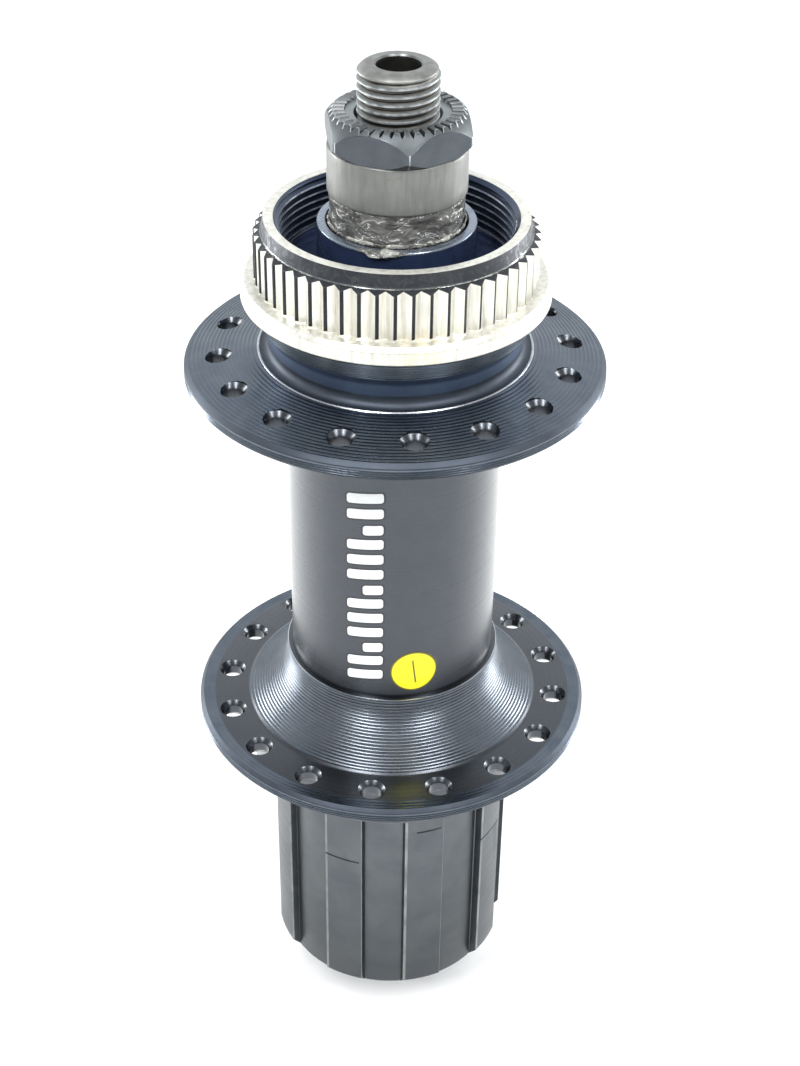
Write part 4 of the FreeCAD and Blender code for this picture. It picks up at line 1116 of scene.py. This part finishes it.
def make_freehub_sleeve():
    """The outside of the freehub body: collar, stop, nine ribs and the lockring mouth."""
    angles, ribs, rib_paint = rib_profile()
    columns = len(angles)
    end = FREEHUB_END
    thread_low = end + 0.15
    thread_high = end + MOUTH_DEPTH
    collar, stop, stop_top = 16.6, 18.6, -28.4
    scratch_depth = 0.09
    thread, climb = inner_thread(angles, thread_low, thread_high, MOUTH_RADIUS + 0.02, 0.45,
                                 thread_low, 0.13)
    thread = np.where(climb >= thread_high - LEVEL, CORE_WALL, thread)
    rows = [(CORE_WALL, FREEHUB_START - 0.01, 0), (collar - 0.15, FREEHUB_START, 0),
            (collar, FREEHUB_START - 0.15, 0), (collar, stop_top, 0),
            (stop - 0.15, stop_top, 0), (stop, stop_top - 0.15, 0),
            (stop, RIB_START + 0.15, 0), (stop - 0.15, RIB_START, 0),
            (ribs + 0.1, RIB_START, 0), (ribs, RIB_START - 0.1, rib_paint)]
    from_front = (angles - FRONT + 180.0) % 360.0 - 180.0
    for first, last, level in sorted(WEAR_MARKS, key=lambda mark: -mark[2]):
        worn = (from_front > first) & (from_front < last)
        floor = ribs - np.where(worn, scratch_depth, 0.0)
        scratch = np.where(worn, 1, rib_paint)
        rows += [(ribs, level + 0.16, rib_paint), (floor, level + 0.05, scratch),
                 (floor, level - 0.05, scratch), (ribs, level - 0.16, scratch)]
    chamfer = np.minimum(ribs, GROOVE_RADIUS + 0.05)
    chamfer_top = end + (0.15 + 1.25 * (ribs - chamfer) / (RIB_RADIUS - GROOVE_RADIUS))
    # paint 2 on the mouth's chamfer edges is wear with a painted highlight
    rows += [(ribs, -48.0, rib_paint), (ribs, -56.0, rib_paint),
             (ribs, chamfer_top + 0.1, rib_paint), (ribs - 0.02, chamfer_top, 2),
             (chamfer, end + 0.14, 0), (chamfer - 0.15, end, 2), (MOUTH_RADIUS + 0.25, end, 0)]
    (radii, heights, paints), starts = joined(
        spread(rows, columns), (thread, climb, np.zeros(thread.shape, int)))
    piece = skin("freehub_sleeve", angles, radii, heights, paints,
                 [FREEHUB_STEEL, WALL_SHADE_AND_SCRATCH, WORN_EDGE_HIGHLIGHT],
                 [(starts[1], starts[2] - 1, TUBE_STEPS)], sharp=24.0)
    return ride(piece, "freehub_body", "freehub_steel", "freehub_body")


def make_ratchet_ring():
    """The inside of the freehub body: two ball races and the ratchet teeth."""
    pitch = 360.0 / RATCHET_COUNT
    ramp = 14.2
    profile = ((0.0, 1.0), (ramp * 0.25, 0.75), (ramp * 0.5, 0.5), (ramp * 0.75, 0.25),
               (ramp, 0.0), (pitch - 0.05, 0.0))
    angles = np.array([RATCHET_ANGLE + pitch * tooth + offset
                       for tooth in range(RATCHET_COUNT) for offset, _ in profile])
    teeth = np.array([RATCHET_TIP + (RATCHET_ROOT - RATCHET_TIP) * depth
                      for _, depth in profile] * RATCHET_COUNT)
    race = 1.6175
    circle = 12.9
    outer = circle + race
    near = circle + race * math.cos(math.radians(70.0))
    rise = race * math.sin(math.radians(70.0))
    top = FREEHUB_START - 0.02
    foot, low_race, teeth_low, teeth_high, high_race = -57.0, -51.0, -46.0, -37.0, -31.0
    outline = Outline()
    outline.to(CORE_WALL, top).to(CORE_WALL, foot).to(outer, foot).to(outer, low_race)
    outline.arc((circle, low_race), near, low_race + rise, 0, 6)
    # a radius of 0 stands for the ratchet's own profile
    outline.to(near, teeth_low).to(0.0, teeth_low).to(0.0, teeth_high).to(near, teeth_high)
    outline.to(near, high_race - rise)
    outline.arc((circle, high_race), outer, high_race, 0, 6)
    outline.to(outer, top)
    radii, heights, paints = outline.tiled(len(angles))
    radii = np.where(radii == 0.0, teeth[:, None], radii)
    return ride(skin("freehub_ratchet_ring", angles, radii, heights, paints, [CORE_STEEL],
                     sharp=30.0), "freehub_body", "freehub_steel", "freehub_body")


# ---- carried-over CAD nodes
def dress_cad_nodes():
    """Gives each CAD node that stays visible the finish of its material slot."""
    finishes = {
        "left_cone": CONE_STEEL, "right_cone": CONE_STEEL, "right_cone_seal": SEAL_RUBBER,
        "right_lock_washer": SPACER_STEEL, "left_balls": BALL_STEEL, "right_balls": BALL_STEEL,
        "left_ball_retainer": RETAINER_STEEL, "right_ball_retainer": RETAINER_STEEL,
        "left_bearing_cup": CUP_STEEL, "freehub_end_cup": CUP_STEEL,
        "freehub_core": CORE_STEEL, "freehub_fixing_bolt": BOLT_STEEL,
        "freehub_shims": BOLT_STEEL, "shell_seal": SEAL_RUBBER, "right_dust_cap": CAP_METAL,
        "pawl_a": PAWL_STEEL, "pawl_b": PAWL_STEEL, "pawl_springs": SPRING_STEEL,
        "freehub_inboard_balls": BALL_STEEL, "freehub_outboard_balls": BALL_STEEL}
    for name, finish in finishes.items():
        for place in frame["nodes"][name].material_slots:
            place.material = finish.material


# ---- stage
def make_floor():
    """A plain pale floor at the axle's lower end."""
    size = 3.0
    level = -AXLE_END * MM
    mesh = new_mesh("floor", [(-size, -size, level), (size, -size, level), (size, size, level),
                              (-size, size, level)], [(0, 1, 2, 3)])
    finish = Finish("floor_paper")
    finish.set(Base_Color=finish.blend(finish.noise(0.05, 2.0), (0.93, 0.93, 0.92),
                                       (0.95, 0.95, 0.945)), Roughness=0.9)
    mesh.materials.append(finish.material)
    floor = add_object("floor", mesh)


def softbox(name, azimuth, elevation, distance, size, power):
    """A wide-by-tall area light aimed at the hub; azimuth 0 is in front, right positive."""
    light = bpy.data.lights.new(name, "AREA")
    light.shape = "RECTANGLE"
    light.size, light.size_y = size
    light.energy = power
    turn = math.radians(azimuth)
    rise = math.radians(elevation)
    place = Vector((math.sin(turn) * math.cos(rise), -math.cos(turn) * math.cos(rise),
                    math.sin(rise))) * distance
    lamp = add_object(name, light)
    lamp.location = place
    lamp.rotation_euler = (-place).to_track_quat("-Z", "Y").to_euler()
    lamp.visible_camera = False


def make_lights():
    """Four soft lamps and a pale sky that is dimmer above and in front."""
    world = bpy.data.worlds.new("studio")
    bpy.context.scene.world = world
    world.use_nodes = True
    sky = Nodes(world.node_tree)
    back = sky.nodes["Background"]
    dim_way = (0.0, -0.64, 0.77)
    bright, dim = 1.25, 0.42
    toward = sky.vector("DOT_PRODUCT", sky.node("TexCoord", {}, "Generated"), dim_way)
    sky.join(back, "Color", (0.93, 0.97, 1.0))
    sky.join(back, "Strength", sky.remap(toward, 0.0, 0.8, bright, dim,
                                         interpolation_type="SMOOTHSTEP"))
    softbox("key_light", -30.0, 53.0, 0.75, (0.10, 0.4), 4.0)
    softbox("fill_light", 40.0, 52.0, 0.75, (0.09, 0.4), 3.2)
    softbox("left_light", -115.0, 6.0, 0.5, (0.14, 0.3), 2.0)
    softbox("right_light", 115.0, 6.0, 0.5, (0.14, 0.3), 2.0)


def make_camera():
    """The camera looks down on the hub from the front, slightly rolled."""
    place = Vector((0.0, -0.20863, 0.15054))
    yaw = math.radians(0.2517)
    pitch = math.radians(34.577)
    roll = math.radians(0.8174)
    forward = Vector((math.sin(yaw) * math.cos(pitch), math.cos(yaw) * math.cos(pitch),
                      -math.sin(pitch)))
    level = Vector((math.cos(yaw), -math.sin(yaw), 0.0))
    upright = level.cross(forward)
    right = level * math.cos(roll) + upright * math.sin(roll)
    up = upright * math.cos(roll) - level * math.sin(roll)
    data = bpy.data.cameras.new("camera")
    data.sensor_width = 36.0
    data.lens = 62.82
    data.clip_start = 0.01
    camera = add_object("camera", data)
    axes = Matrix((right, up, -forward)).transposed().to_4x4()
    camera.matrix_world = Matrix.Translation(place) @ axes
    bpy.context.scene.camera = camera


def make_everything():
    make_camera()
    make_axle()
    make_locknut("left_locknut_serrated", "left_locknut", *corner_heights("left_locknut"))
    make_locknut("right_locknut_serrated", "right_locknut",
                 *reversed(corner_heights("right_locknut")))
    make_spacer()
    make_cone_seal()
    make_grease_ring()
    make_dust_cap()
    make_grease_blob()
    make_rotor_mount()
    make_rim_bead()
    make_shell()
    make_mark()
    make_label()
    make_freehub_sleeve()
    make_ratchet_ring()
    dress_cad_nodes()
    make_floor()
    make_lights()
    bpy.context.scene.view_settings.view_transform = "Standard"


make_everything()
